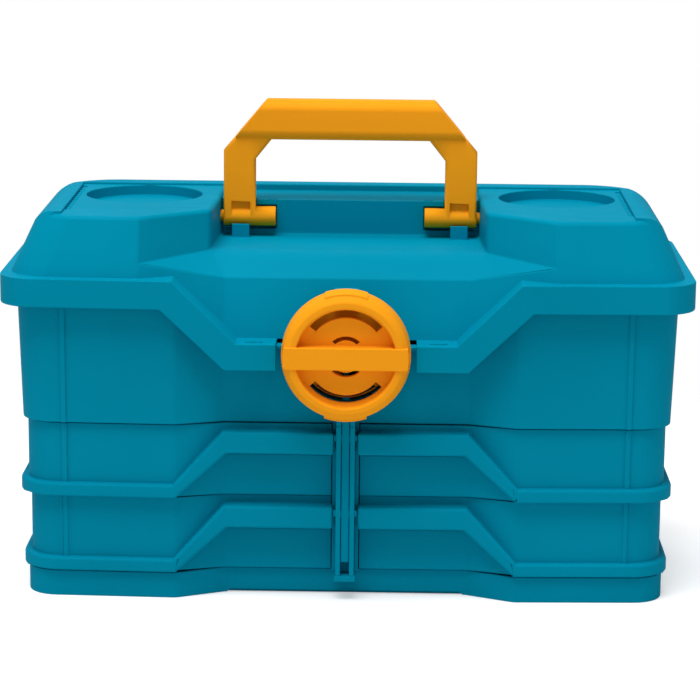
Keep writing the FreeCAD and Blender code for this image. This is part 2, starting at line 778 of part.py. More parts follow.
def bin_plan(grow="0"):
    """Plan of the bin's foot."""
    return plan("bin_half", "bin_front", "bin_centre", "bin_back", grow=grow)


def bin_case(name, grow, low, high):
    """A block between the bin's leaning walls, moved out by grow."""
    low_grow = f"{grow} + bin_lean * ({low} - ({FRAME_HEAD})) / (rim_top - ({FRAME_HEAD}))"
    high_grow = f"{grow} + bin_lean * ({high} - ({FRAME_HEAD})) / (rim_top - ({FRAME_HEAD}))"
    return leaning_case(name, bin_plan(low_grow), low, bin_plan(high_grow), high,
                        f"bin_corner + {grow}")


def upper_bin():
    """Deep bin on the frame, with the latch's round housing in front."""
    seat = under_by("bin_seat", "wall + seat_gap")
    outside = common("bin_outside", [bin_case("bin_case", "0", FRAME_HEAD, "rim_top"), seat])
    hollow = bin_case("bin_hollow", "-wall", f"{FRAME_HEAD} + floor_thick", "rim_top + trim_past")
    proud = bin_case("bin_proud", "rib_out", FRAME_HEAD, "rim_low")
    ribs = both_sides("bin_rib", lambda name, sign: common(name, [proud, side_box(
        f"{name}_span", sign, ("pivot_x - rib_half", "pivot_x + rib_half"),
        ("-far", "-pivot_y"), ("0", "far"))]))
    ring = upright_case("bin_ring", plan("rim_half", "rim_front", "rim_centre", "rim_back",
                                         grow="-wall - side_gap"), "knob_z - housing", "rim_top",
                        "rim_corner - wall - side_gap", None)
    gap = box("bin_ring_gap", ("-rim_end - wall", "rim_end + wall"), ("-far", "-bin_front"),
              ("0", "dip_top + side_gap"))
    flange = cut("bin_flange", common("bin_flange_slab", [ring, seat]),
                 under_by("bin_under_flange", "2 * wall + seat_gap"), gap)
    centre = ("0", "knob_z")
    housing = cylinder("bin_housing", "housing", "y", "-housing_front", "-housing_back", centre)
    cup = cylinder("bin_housing_cup", "housing - housing_wall", "y", "-far",
                   "-housing_back - wall", centre)
    bearing = cylinder("bin_bearing", "bearing", "y", "-lock_front - run_gap", "-shaft_end - side_gap",
                       centre)
    shaft_hole = cylinder("bin_shaft_hole", "shaft + run_gap", "y", "-far", "0", centre)
    walls = both_sides("bin_channel", lambda name, sign: side_box(
        name, sign, ("post_half - post_flange", "post_half"), ("-post_front", "-bin_centre + wall"),
        (FRAME_HEAD, "knob_z - housing + housing_wall")))
    bar_way = box("bin_bar_way", ("-post_half + post_flange", "post_half - post_flange"),
                  ("-post_front - cut_past", "-lock_front + lock_thick + side_gap"),
                  (FRAME_HEAD, "knob_z - bearing - side_gap"))
    tongue_way = box("bin_tongue_way", ("-tongue_half - tongue_gap", "tongue_half + tongue_gap"),
                     ("-far", "-bin_centre + 2 * wall"), ("tongue_low - tongue_gap", "far"))
    pivots = both_sides("bin_boss", lambda name, sign: cylinder(
        name, "pivot_boss", "z", FRAME_HEAD, f"{FRAME_HEAD} + bin_boss_high",
        (f"{sign}pivot_x", "-pivot_y")))
    sockets = both_sides("bin_socket", lambda name, sign: cylinder(
        name, "pivot_pin + hold_gap", "z", "0", f"{FRAME_HEAD} + bin_boss_high - wall + seat_gap",
        (f"{sign}pivot_x", "-pivot_y")))
    bores = [cylinder(f"bin_bore_{n}", "screw + hold_gap", "z", "0", "far", place)
             for n, place in enumerate(COLUMNS)]
    hinge = []
    for side, sign in SIDES.items():
        span = ("hinge_x - knuckle_mid / 2", "hinge_x + knuckle_mid / 2")
        start, end = span if not sign else (f"-({span[1]})", f"-({span[0]})")
        hinge.append(cylinder(f"bin_knuckle_{side}", "knuckle", "x", start, end,
                              ("hinge_y", "hinge_z")))
        hinge.append(side_box(f"bin_arm_{side}", sign, span, ("bin_back", "hinge_y"),
                              ("hinge_z - knuckle", "hinge_z + wall / 2")))
    pin_hole = cylinder("bin_hinge_hole", "hinge_pin + hold_gap", "x", "-far", "far",
                        ("hinge_y", "hinge_z"))
    shell = cut("bin_shell", fuse("bin_solid", [outside, flange, housing] + ribs + hinge), hollow, cup)
    body = fuse("bin_body", [shell, bearing] + walls + pivots)
    return cut("upper_bin", body, shaft_hole, bar_way, tongue_way, pin_hole, *sockets, *bores)


# ---------------------------------------------------------------- lid


def body_plan(height, inset):
    """Plan of the lid's body at one height, its walls moved in by inset."""
    share = f"(({height}) - rim_top) / (lid_top - rim_top)"
    return plan(f"body_half - lean_side * {share} - ({inset})",
                f"body_front - lean_front * {share} - ({inset})",
                f"body_centre - lean_front * {share} - ({inset})",
                f"body_back - lean_back * {share} - ({inset})", lobe="cheek_x")


def lid_block(name, inset, top):
    """The lid's body before anything is taken out of it."""
    low = "dip_low - trim_past"
    return leaning_case(name, body_plan(low, inset), low, body_plan(top, inset), top,
                        f"body_corner - ({inset})", f"body_rear_corner - ({inset})")


def crown(name, inset):
    """Everything under the lid's rounded side edges, moved in by inset."""
    slope = "lean_side / (lid_top - rim_top)"
    spread = f"sqrt(1 + ({slope}) ^ 2)"
    across = f"body_half - lean_side - crown * ({spread} - {slope}) + crown_over"
    rounds = both_sides(f"{name}_round", lambda word, sign: cylinder(
        word, f"crown - ({inset})", "y", "-far", "far", (f"{sign}({across})", "lid_top - crown")))
    middle = box(f"{name}_middle", (f"-({across})", across), ("-far", "far"), ("0", f"lid_top - ({inset})"))
    low = box(f"{name}_low", ("-far", "far"), ("-far", "far"),
              ("0", f"lid_top - crown * (1 - ({slope}) / {spread})"))
    return fuse(name, [middle, low, *rounds])


def deck_room(name, inset):
    """The room over the deck, between the pods: flat at the back, sloping in front, with a
    slanted cheek on either side. A positive inset is the wall under and beside it."""
    wall = value(inset)
    top = value("lid_top + wall")
    front = value("rim_front + deck_reach")

    def pod_front(height):
        return value("body_front") - value("lean_front") * (height - value("rim_top")) / value(
            "lid_top - rim_top")

    def reach_front(start, through):
        share = (front + start.y) / (start.y - through.y)
        return start + (through - start) * share

    aside = FreeCAD.Vector(CHEEK_ACROSS, CHEEK_BACK, 0) * wall
    back = FreeCAD.Vector(value("deck_half_back") + wall, value("deck_back") + wall, value("deck_z") - wall)
    bend = FreeCAD.Vector(value("deck_half_front") + wall, -value("deck_front") + CHEEK_TURN * wall,
                          value("deck_z") - wall)
    lean = value("cheek_lean") * (top - bend.z) / value("pod_top - deck_z")
    bend_top = FreeCAD.Vector(bend.x, bend.y + lean, top)
    back_top = FreeCAD.Vector(back.x, back.y, top)
    crease = FreeCAD.Vector(value("flat_half"),
                            value("body_front - body_centre") - pod_front(value("crease_z")),
                            value("crease_z") - SLOPE_DROP * wall)
    valley_end = reach_front(bend, crease)
    foot = FreeCAD.Vector(value("cheek_x"), -pod_front(value("cheek_z")), value("cheek_z") - wall) + aside
    head = FreeCAD.Vector(value("cheek_x"), -pod_front(top), top) + aside
    across = (crease - bend).cross(foot - bend)
    foot_end = FreeCAD.Vector(foot.x, -front, foot.z + (foot.y + front) * across.y / across.z)
    head_end = FreeCAD.Vector(head.x, -front, top)
    right = [back, bend, valley_end, foot_end, foot, head, head_end, bend_top, back_top]
    left = [FreeCAD.Vector(-point.x, point.y, point.z) for point in right]
    count = len(right)
    deck = [0, count, count + 1, 1]
    slope = [1, count + 1, count + 2, 2]
    front_end = [2, count + 2, count + 3, count + 6, 6, 3]
    roof = [8, 7, 5, 6, count + 6, count + 5, count + 7, count + 8]
    rear = [0, 8, count + 8, count]
    sides = [[1, 2, 4], [2, 3, 4], [3, 6, 5, 4], [1, 4, 5], [1, 5, 7], [0, 1, 7], [0, 7, 8]]
    sides += [[count + i for i in reversed(side)] for side in sides]
    return fixed(name, closed_solid(right + left, [deck, slope, front_end, roof, rear] + sides))


def cups(name, grow):
    """The two round recesses in the pods."""
    return both_sides(name, lambda word, sign: cylinder(
        word, f"cup + {grow}", "z", f"pod_top - cup_deep - {grow}", "far", (f"{sign}cup_x", "cup_y")))


def handle_pockets(name, grow):
    """Room in the deck's back wall for the handle's barrels, and for its legs above them."""
    rooms = []
    inner = f"barrel_inner - side_gap - {grow}"
    outer = f"deck_half_back + {grow}"
    for side, sign in SIDES.items():
        rooms.append(side_box(f"{name}_barrel_{side}", sign, (inner, outer),
                              ("handle_y - handle_thick / 2", f"pocket_back + {grow}"),
                              (f"pocket_floor - {grow}", f"bridge_under + {grow}")))
        rooms.append(side_box(f"{name}_leg_{side}", sign, (f"handle_inner - side_gap - {grow}", outer),
                              ("handle_y - handle_thick / 2", f"pocket_back + {grow}"),
                              (f"pocket_floor - {grow}", "far")))
    return rooms


def lid_outside():
    """The lid's outer form: rim, body, pods and deck."""
    rim = upright_case("rim_case", plan("rim_half", "rim_front", "rim_centre", "rim_back"),
                       "dip_low - trim_past", "rim_top", "rim_corner", None)
    above = under_line("rim_under_top", "0", "0", "0")
    below = under_line("rim_under_foot", "rim_top - rim_low", "dip_top - dip_low",
                       f"(rim_top - rim_low) * tan({HALF_SLANT})")
    gap = box("rim_gap", ("-rim_end", "rim_end"), ("-far", "-body_centre"), ("0", "dip_top"))
    band = cut("rim_band", common("rim_slab", [rim, above]), below, gap)
    whole = common("lid_crowned", [lid_block("lid_block", "0", "lid_top"), crown("lid_crown", "0")])
    block = cut("lid_upper", whole, above)
    plateau = box("lid_plateau", ("-border_half", "border_half"), ("-far", "border_back"),
                  ("pod_top", "far"))
    brow = box("lid_brow", ("-far", "far"), ("-far", "-border_front"), ("pod_top", "far"))
    middle = box("lid_middle", ("-deck_half_back", "deck_half_back"), ("0", "border_back"),
                 ("plateau_z", "far"))
    grooves = both_sides("lid_groove", lambda name, sign: side_box(
        name, sign, ("border_half - groove_wide", "border_half"), ("-groove_reach", "groove_reach"),
        ("pod_top - groove_deep", "far")))
    body = cut("lid_form", block, plateau, brow, middle, *grooves, deck_room("deck_room", "0"),
               *cups("cup", "0"), *handle_pockets("pocket", "0"))
    return fuse("lid_outside", [band, body])


def lid_inside():
    """The room inside the lid."""
    rim = upright_case("rim_room", plan("rim_half", "rim_front", "rim_centre", "rim_back", grow="-wall"),
                       "dip_low - 2 * trim_past", "lid_top", "rim_corner - wall", None)
    under_shelf = common("rim_hollow", [rim, under_by("rim_under_shelf", "wall")])
    block = common("lid_room", [rim, lid_block("lid_room_block", "wall", "pod_top - wall"),
                                crown("lid_room_crown", "wall")])
    middle = box("lid_room_middle", ("-deck_half_back - wall", "deck_half_back + wall"),
                 ("0", "border_back + wall"), ("plateau_z - wall", "far"))
    room = cut("lid_room_cut", block, middle, deck_room("deck_room_under", "wall"),
               *cups("cup_under", "wall"), *handle_pockets("pocket_under", "wall"))
    return fuse("lid_inside", [under_shelf, room])


def lid_shell():
    """The lid: a moulded shell with hinge knuckles, handle bearings and the latch's tongue."""
    shell = cut("lid_hollowed", lid_outside(), lid_inside())
    centre = ("0", "knob_z")
    notch = cylinder("lid_notch", "housing + side_gap", "y", "-far", "0", centre)
    notch_way = box("lid_notch_way", ("-housing - side_gap", "housing + side_gap"), ("-far", "0"),
                    ("0", "knob_z"))
    slots = both_sides("lid_shelf_slot", lambda name, sign: side_box(
        name, sign, ("slot_from", "slot_to"), ("-slot_front", "-slot_front + slot_wide"),
        ("dip_top - 2 * wall", "dip_top + wall")))
    vents = both_sides("lid_vent", lambda name, sign: side_box(
        name, sign, ("vent_from", "vent_to"), ("vent_y", "vent_y + vent_wide"),
        ("bridge_under - wall", "far")))
    bearings = both_sides("lid_bearing", lambda name, sign: cylinder(
        name, "trunnion + run_gap", "x",
        "-deck_half_front - 2 * wall" if sign else "barrel_inner",
        "-barrel_inner" if sign else "deck_half_front + 2 * wall",
        ("handle_y", "handle_z")))
    tabs = both_sides("lid_tab", lambda name, sign: side_box(
        name, sign, ("tab_from", "tab_to"),
        ("handle_y - barrel - seat_gap - tab_thick", "handle_y - barrel - seat_gap"),
        ("deck_z - wall / 2", "tab_top")))
    tongue = box("lid_tongue", ("-tongue_half", "tongue_half"), ("-tongue_front", "-body_centre + wall"),
                 ("tongue_low", "tongue_low + tongue_thick"))
    root = box("lid_tongue_root", ("-tongue_half", "tongue_half"),
               ("-body_centre - 2 * wall", "-body_centre + wall"),
               ("tongue_low", "knob_z + housing + side_gap + wall"))
    rear_ways = both_sides("lid_rear_way", lambda name, sign: side_box(
        name, sign, ("hinge_x - knuckle_mid / 2 - seat_gap", "hinge_x + knuckle_mid / 2 + seat_gap"),
        ("body_back", "far"), ("0", "hinge_z + knuckle + side_gap")))
    knuckles = []
    for side, sign in SIDES.items():
        for word, start in (("in", "hinge_x - knuckle_mid / 2 - seat_gap - knuckle_side"),
                            ("out", "hinge_x + knuckle_mid / 2 + seat_gap")):
            end = f"{start} + knuckle_side"
            low, high = (f"-({end})", f"-({start})") if sign else (start, end)
            knuckles.append(cylinder(f"lid_knuckle_{side}_{word}", "knuckle", "x", low, high,
                                     ("hinge_y", "hinge_z")))
            knuckles.append(side_box(f"lid_arm_{side}_{word}", sign, (start, end),
                                     ("rim_back - wall", "hinge_y + wall / 2"),
                                     ("hinge_z", "hinge_z + 2 * knuckle")))
    pin_hole = cylinder("lid_hinge_hole", "hinge_pin + run_gap", "x", "-far", "far",
                        ("hinge_y", "hinge_z"))
    opened = cut("lid_opened", shell, notch, notch_way, *slots, *vents, *rear_ways)
    body = fuse("lid_body", [opened, tongue, root] + tabs + knuckles)
    return cut("lid_shell", body, pin_hole, *bearings)


def hinge_pins():
    """A pin through each of the lid's two hinges."""
    pins = []
    for side, sign in SIDES.items():
        start = "hinge_x - knuckle_mid / 2 - seat_gap - knuckle_side"
        end = "hinge_x + knuckle_mid / 2 + seat_gap + knuckle_side"
        low, high = (f"-({end})", f"-({start})") if sign else (start, end)
        pins.append(cylinder(f"lid_hinge_pin_{side}", "hinge_pin", "x", low, high,
                             ("hinge_y", "hinge_z")))
    return group("lid_hinge_pins", pins)


# ---------------------------------------------------------------- handle


def slope_half(height):
    """Half-width of the handle's outer edge at a height on its sloping shoulder."""
    share = f"(({height}) - handle_shoulder) / (handle_top - handle_shoulder)"
    return f"handle_half - (handle_half - handle_top_half) * {share}"


def carry_handle():
    """Bail handle: two flat legs, a thick rounded grip and a barrel at each foot."""
    right = [("handle_inner", "handle_z"), ("handle_half", "handle_z"),
             ("handle_half", "handle_shoulder"), ("handle_top_half", "handle_top")]
    inner = [("-handle_inner", "handle_z"), ("-handle_inner", "handle_armpit"),
             ("-handle_under_half", "handle_under"), ("handle_under_half", "handle_under"),
             ("handle_inner", "handle_armpit")]
    left = [(f"-({x})", z) for x, z in reversed(right)]
    arch = prism_back("handle_arch", right + left[:-1] + inner, "handle_y - handle_thick / 2",
                      "handle_y + handle_thick / 2")
    round_edges(arch, "handle_arch_round", long_edges(arch.Shape), "handle_edge")
    seam = [(slope_half("grip_seam"), "grip_seam"), ("handle_top_half", "handle_top"),
            ("-handle_top_half", "handle_top"), (f"-({slope_half('grip_seam')})", "grip_seam"),
            ("-handle_under_half", "handle_under"), ("handle_under_half", "handle_under")]
    depth = ("handle_y - grip_thick / 2", "handle_y + grip_thick / 2")
    stock = prism_back("handle_stock", [("-handle_half", "handle_under"), ("handle_half", "handle_under"),
                                        ("handle_half", "handle_top"), ("-handle_half", "handle_top")],
                       *depth)
    round_edges(stock, "handle_stock_round", level_edges(stock.Shape), "grip_round")
    grip = common("handle_grip", [prism_back("handle_seam", seam, *depth), stock])
    reliefs = both_sides("handle_relief", lambda name, sign: side_box(
        name, sign, ("tab_from - side_gap", "tab_to + side_gap"),
        ("handle_y - handle_thick", "handle_y - relief_deep"), ("0", "relief_top")))
    feet = []
    for side, sign in SIDES.items():
        for word, radius, reach in (("barrel", "barrel", "0"), ("trunnion", "trunnion", "trunnion_long")):
            start, end = "barrel_inner", f"handle_half + {reach}"
            low, high = (f"-({end})", f"-({start})") if sign else (start, end)
            feet.append(cylinder(f"handle_{word}_{side}", radius, "x", low, high,
                                 ("handle_y", "handle_z")))
    return fuse("carry_handle", [cut("handle_legs", fuse("handle_bow", [arch, grip]), *reliefs)] + feet)


def long_edges(shape):
    """Numbers of the edges of a front-view outline on both faces of its pad, below the grip."""
    faces = (shape.BoundBox.YMin, shape.BoundBox.YMax)
    return [number for number, edge in enumerate(shape.Edges, start=1)
            if any(all(abs(v.Point.y - face) < UPRIGHT_RISE / 10 for v in edge.Vertexes) for face in faces)
            and edge.BoundBox.ZMax > value("handle_z") + UPRIGHT_RISE]


def level_edges(shape):
    """Numbers of the edges of a bar that run along it."""
    return [number for number, edge in enumerate(shape.Edges, start=1)
            if edge.BoundBox.XLength > shape.BoundBox.XLength / 2]


# ---------------------------------------------------------------- knob and latch


def ring_sector(name, inner, outer, angle, front, back, side):
    """Part of a ring round the knob's axis, centred straight up (+) or straight down (-)."""
    centre = ("0", "knob_z")
    ring = cut(f"{name}_ring", cylinder(f"{name}_outer", outer, "y", front, back, centre),
               cylinder(f"{name}_inner", inner, "y", "-far", "far", centre))
    corners = [(f"{turn}2 * knob * sin({angle})", f"knob_z {side} 2 * knob * cos({angle})")
               for turn in (side, "-" if side == "+" else "+")]
    wedge = prism_back(f"{name}_wedge", [("0", "knob_z")] + corners, front, back)
    return common(name, [ring, wedge])


def cone_back(name, front_radius, back_radius, front, back):
    """A cone along the knob's axis."""
    taper = DOC.addObject("Part::Cone", name)
    taper.setExpression("Radius1", ex(front_radius))
    taper.setExpression("Radius2", ex(back_radius))
    taper.setExpression("Height", ex(f"({back}) - ({front})"))
    taper.Placement.Rotation = FreeCAD.Rotation(FreeCAD.Vector(1, 0, 0), -90)
    taper.setExpression(".Placement.Base.y", ex(front))
    taper.setExpression(".Placement.Base.z", ex("knob_z"))
    return taper


def latch_knob():
    """Turning knob: a dished face with a grip bar, and a shaft behind."""
    centre = ("0", "knob_z")
    drum = [cylinder("knob_side", "knob_round", "y", "-knob_side_front", KNOB_BACK, centre),
            cone_back("knob_brow_cone", "knob_brow", "knob_round", "-knob_brow_front", "-knob_side_front"),
            cone_back("knob_face_cone", "knob_face", "knob_brow", "-knob_front", "-knob_brow_front"),
            common("knob_pads", [
                cone_back("knob_pad_round", "knob_round", "knob", "-knob_brow_front", KNOB_BACK),
                box("knob_pad_span", ("-knob_pad_half", "knob_pad_half"), ("-far", "0"), ("0", "far"))])]
    dish = cone_back("knob_dish", "knob_well + dish_flare", "knob_well", "-knob_front", "-knob_floor")
    slots = []
    for word, side in (("up", "+"), ("down", "-")):
        slots.append(ring_sector(f"knob_slot_{word}", "arc_in", "arc_out", "arc_angle", "-knob_floor",
                                 KNOB_BACK, side))
        slots.append(ring_sector(f"knob_hub_slot_{word}", "hub_in", "hub_out", "hub_angle",
                                 "-knob_floor", KNOB_BACK, side))
    bar = common("knob_bar", [
        cylinder("knob_bar_round", "knob_brow", "y", "-bar_front", "-knob_floor", centre),
        box("knob_bar_span", ("-far", "far"), ("-far", "0"), ("knob_z - bar_half", "knob_z + bar_half"))])
    nicks = both_sides("knob_nick", lambda name, sign: side_box(
        name, sign, ("knob_round - nick", "far"), ("-far", KNOB_BACK),
        ("knob_z - bar_half", "knob_z + bar_half")))
    shaft = cylinder("knob_shaft", "shaft", "y", KNOB_BACK, "-shaft_end", centre)
    bore = cylinder("knob_bore", "screw + hold_gap", "y", "-shaft_end - knob_screw_long", "0", centre)
    face = cut("knob_face_cut", fuse("knob_solid", drum), dish, *slots, *nicks)
    return cut("latch_knob", fuse("knob_body", [face, bar, shaft]), bore)


def knob_skirt():
    """Ring on the back of the knob's face, open at the top: once turned, it holds the lid's tongue."""
    centre = ("0", "knob_z")
    gap = box("knob_skirt_gap", ("-tongue_half - tongue_gap", "tongue_half + tongue_gap"), ("-far", "0"),
              ("knob_z", "far"))
    return cut("knob_skirt", cylinder("knob_skirt_out", "knob_round", "y", KNOB_BACK, "-knob_rear", centre),
               cylinder("knob_skirt_in", "skirt", "y", "-far", "0", centre), gap)


def spiral_slot():
    """Slot of a steady spiral: a quarter turn moves the pin in it by the cam's rise."""
    half = value("drive_pin + seat_gap")
    start, rise = value("cam_from"), value("cam_rise")
    outer = []
    inner = []
    for step in range(-SPIRAL_OVER, SPIRAL_STEPS + SPIRAL_OVER + 1):
        share = step / SPIRAL_STEPS
        angle = math.radians(QUARTER * share - QUARTER)
        for side, points in ((half, outer), (-half, inner)):
            radius = start + rise * share + side
            points.append(FreeCAD.Vector(radius * math.cos(angle), 0,
                                         value("knob_z") + radius * math.sin(angle)))
    loop = outer + inner[::-1]
    face = Part.Face(Part.makePolygon(loop + [loop[0]]))
    face.translate(FreeCAD.Vector(0, value("-cam_front - cut_past"), 0))
    return fixed("cam_slot", face.extrude(FreeCAD.Vector(0, value("cam_thick + 2 * cut_past"), 0)))


def latch_cam():
    """Disc on the knob's shaft, with a spiral slot that drives the lock bar."""
    centre = ("0", "knob_z")
    disc = cylinder("cam_disc", "cam", "y", "-cam_front", "-cam_front + cam_thick", centre)
    hole = cylinder("cam_hole", "shaft + hold_gap", "y", "-far", "0", centre)
    window = ring_sector("cam_window", "arc_in", "arc_out - side_gap", "window_angle", "-cam_front",
                         "-cam_front + cam_thick", "-")
    return cut("latch_cam", disc, hole, spiral_slot(), window)


def knob_fixings():
    """Washer and screw that hold the knob's shaft from inside the bin."""
    centre = ("0", "knob_z")
    washer = cut("knob_washer", cylinder("washer_disc", "washer", "y", "-shaft_end",
                                         "-shaft_end + washer_thick", centre),
                 cylinder("washer_hole", "screw + run_gap", "y", "-far", "0", centre))
    head = cylinder("knob_screw_head", "screw_head", "y", "-shaft_end + washer_thick",
                    "-shaft_end + washer_thick + screw_head_high", centre)
    shank = cylinder("knob_screw_shank", "screw", "y", "-shaft_end - knob_screw_long + screw_tip_gap",
                     "-shaft_end + washer_thick", centre)
    return [washer, fuse("knob_screw", [head, shank])]


def tray_lock_bar():
    """Bar in the post's channel, with a lug at each tier and a pin in the cam's slot."""
    depth = ("-lock_front", "-lock_front + lock_thick")
    bar = box("lock_strip", ("-lock_half", "lock_half"), depth,
              ("lock_foot", "knob_z - cam_from + drive_pin + seat_gap"))
    pin = cylinder("lock_pin", "drive_pin", "y", "-cam_front - seat_gap", "-lock_front",
                   ("0", "knob_z - cam_from"))
    lugs = [box(f"lock_lug_{n}", ("-lug_half", "lug_half"), depth, (low, f"{low} + lug_high"))
            for n, low in enumerate(lug_heights())]
    return fuse("tray_lock_bar", [bar, pin] + lugs)


# ---------------------------------------------------------------- assembly


def build():
    """Make every piece, and return those that are written out."""
    fill_sheet()
    pieces = [base_tray(), rear_frame(), centre_post(), upper_bin(), lid_shell(), hinge_pins(),
              carry_handle(), latch_knob(), knob_skirt(), latch_cam(), tray_lock_bar()]
    pieces += knob_fixings()
    pieces += pivot_pins()
    pieces += both_sides("tray_spacers", spacers)
    pieces.append(bolts("base_screws", COLUMNS, "screw_sink - screw_head_high", "screw_sink",
                        "screw_sink + screw_long"))
    pieces.append(bolts("bin_screws", COLUMNS, f"{FRAME_HEAD} + floor_thick",
                        f"{FRAME_HEAD} + floor_thick - bin_screw_long", f"{FRAME_HEAD} + floor_thick"))
    for tier, foot, head in (("low", LOW_FOOT, UP_FOOT), ("up", UP_FOOT, BIN_FOOT)):
        for right in (tray(tier, foot, head), dividers(tier, foot), catch(f"{tier}_catch_right", foot)):
            pieces.append(right)
            pieces.append(mirrored(right.Name.replace("right", "left"), right))
    DOC.recompute()
    return pieces


def write(pieces):
    """Check every object and every piece, then write one file for each piece."""
    for item in DOC.Objects:
        if "Invalid" in item.State or "Error" in item.State:
            raise RuntimeError(f"{item.Name} did not build: {item.State}")
    for piece in pieces:
        if piece.Shape.isNull() or not piece.Shape.isValid() or not piece.Shape.Solids:
            raise RuntimeError(f"{piece.Name} has no valid solid")
    os.makedirs("parts", exist_ok=True)
    for piece in pieces:
        piece.Label = piece.Name
        piece.Shape.exportStep(f"parts/{piece.Label}.step")


write(build())
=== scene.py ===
"""Dressed model of a moulded fishing tackle cabinet, with four swing-out trays under a bin and lid."""
import json
import logging
import math
from dataclasses import dataclass, field
from enum import Enum
from typing import Sequence

import bmesh
import bpy
from mathutils import Matrix, Vector

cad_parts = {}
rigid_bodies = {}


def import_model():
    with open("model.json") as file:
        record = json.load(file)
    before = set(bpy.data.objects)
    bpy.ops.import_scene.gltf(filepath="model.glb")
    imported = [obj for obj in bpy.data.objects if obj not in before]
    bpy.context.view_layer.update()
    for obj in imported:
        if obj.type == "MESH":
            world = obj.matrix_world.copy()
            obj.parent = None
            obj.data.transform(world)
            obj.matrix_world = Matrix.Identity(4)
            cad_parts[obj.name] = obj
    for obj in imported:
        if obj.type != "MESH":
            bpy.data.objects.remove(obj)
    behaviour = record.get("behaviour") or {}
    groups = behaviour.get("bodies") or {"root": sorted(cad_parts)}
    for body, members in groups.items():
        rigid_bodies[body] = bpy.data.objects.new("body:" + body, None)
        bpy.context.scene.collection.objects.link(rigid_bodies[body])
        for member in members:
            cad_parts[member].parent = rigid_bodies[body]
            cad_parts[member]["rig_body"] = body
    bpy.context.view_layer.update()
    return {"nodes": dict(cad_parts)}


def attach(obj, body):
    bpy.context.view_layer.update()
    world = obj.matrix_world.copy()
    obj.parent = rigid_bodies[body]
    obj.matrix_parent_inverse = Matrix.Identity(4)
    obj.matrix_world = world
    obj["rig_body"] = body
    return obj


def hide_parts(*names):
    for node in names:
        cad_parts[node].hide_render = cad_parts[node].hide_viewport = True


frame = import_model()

LOG = logging.getLogger("tackle_cabinet")
MM = 0.001
WELD = 2e-6  # metres under which two corners are one
FLAT_ANGLE = math.radians(0.6)
CREASE_ANGLE = math.radians(14.0)
SMOOTH_ANGLE = math.radians(33.0)
NOISE_MIDDLE = (0.3, 0.7)  # where most of a noise's values lie
WEIGHT_LAYER = "bevel_weight_edge"
LARGE_FACES_FIRST = 100  # weighted normals: the largest faces decide the shading
BEYOND = 400.0  # millimetres, past every piece
SIDES = {"left": -1.0, "right": 1.0}


class Turn(Enum):
    """Which way an edge is folded."""

    OUT = "out"
    IN = "in"
    ANY = "any"


class Slot(Enum):
    """The record's material slots."""

    CASE = "case_plastic"
    DIVIDER = "divider_plastic"
    HANDLE = "handle_plastic"
    WASHER = "washer_plastic"
    PIN = "pin_steel"


def placed(name: str, data: bpy.types.ID) -> bpy.types.Object:
    """Makes an object of its data and links it into the scene.

    Args:
        name: The object's name.
        data: Its mesh, lamp or camera.

    Returns:
        The object, at the origin.
    """
    made = bpy.data.objects.new(name, data)
    bpy.context.scene.collection.objects.link(made)
    return made


class NodeTree:
    """A small helper that adds and joins nodes."""

    def __init__(self, tree: bpy.types.NodeTree) -> None:
        """Starts on an empty tree.

        Args:
            tree: The node tree to fill.
        """
        self.tree = tree
        tree.nodes.clear()

    def add(self, kind: str, **settings: object) -> bpy.types.Node:
        """Adds a node.

        Args:
            kind: The node's type name.
            **settings: Attributes to set on it.

        Returns:
            The new node.
        """
        node = self.tree.nodes.new(kind)
        for key, setting in settings.items():
            setattr(node, key, setting)
        return node

    def join(self, source: bpy.types.NodeSocket, target: bpy.types.NodeSocket) -> None:
        """Links two sockets."""
        self.tree.links.new(source, target)

    def tone(self, kind: str, grey: float = 1.0) -> bpy.types.Node:
        """Adds a shader of an even grey.

        Args:
            kind: The shader's type name.
            grey: Its grey; 1 is white.

        Returns:
            The new shader.
        """
        shader = self.add(kind)
        shader.inputs["Color"].default_value = (grey, grey, grey, 1.0)
        return shader

    def mix(self, share: bpy.types.NodeSocket, first: bpy.types.NodeSocket,
            second: bpy.types.NodeSocket) -> bpy.types.NodeSocket:
        """Blends two shaders.

        Args:
            share: The second shader's share.
            first: The first shader.
            second: The second shader.

        Returns:
            The blend.
        """
        mixed = self.add("ShaderNodeMixShader")
        self.join(share, mixed.inputs["Fac"])
        self.join(first, mixed.inputs[1])
        self.join(second, mixed.inputs[2])
        return mixed.outputs["Shader"]

    def noise(self, coordinates: bpy.types.NodeSocket, scale: float, detail: float) -> bpy.types.NodeSocket:
        """Adds a noise texture.

        Args:
            coordinates: The socket that it reads its place from.
            scale: Features per metre.
            detail: Octaves.

        Returns:
            The noise's value, from 0 to 1.
        """
        texture = self.add("ShaderNodeTexNoise")
        texture.inputs["Scale"].default_value = scale
        texture.inputs["Detail"].default_value = detail
        self.join(coordinates, texture.inputs["Vector"])
        return texture.outputs["Fac"]

    def spread(self, source: bpy.types.NodeSocket, low: float, high: float) -> bpy.types.NodeSocket:
        """Maps a noise's middle range onto two values.

        Args:
            source: The noise.
            low: The value at its low end.
            high: The value at its high end.

        Returns:
            The mapped value.
        """
        ranged = self.add("ShaderNodeMapRange")
        ranged.inputs["From Min"].default_value, ranged.inputs["From Max"].default_value = NOISE_MIDDLE
        ranged.inputs["To Min"].default_value = low
        ranged.inputs["To Max"].default_value = high
        self.join(source, ranged.inputs["Value"])
        return ranged.outputs["Result"]


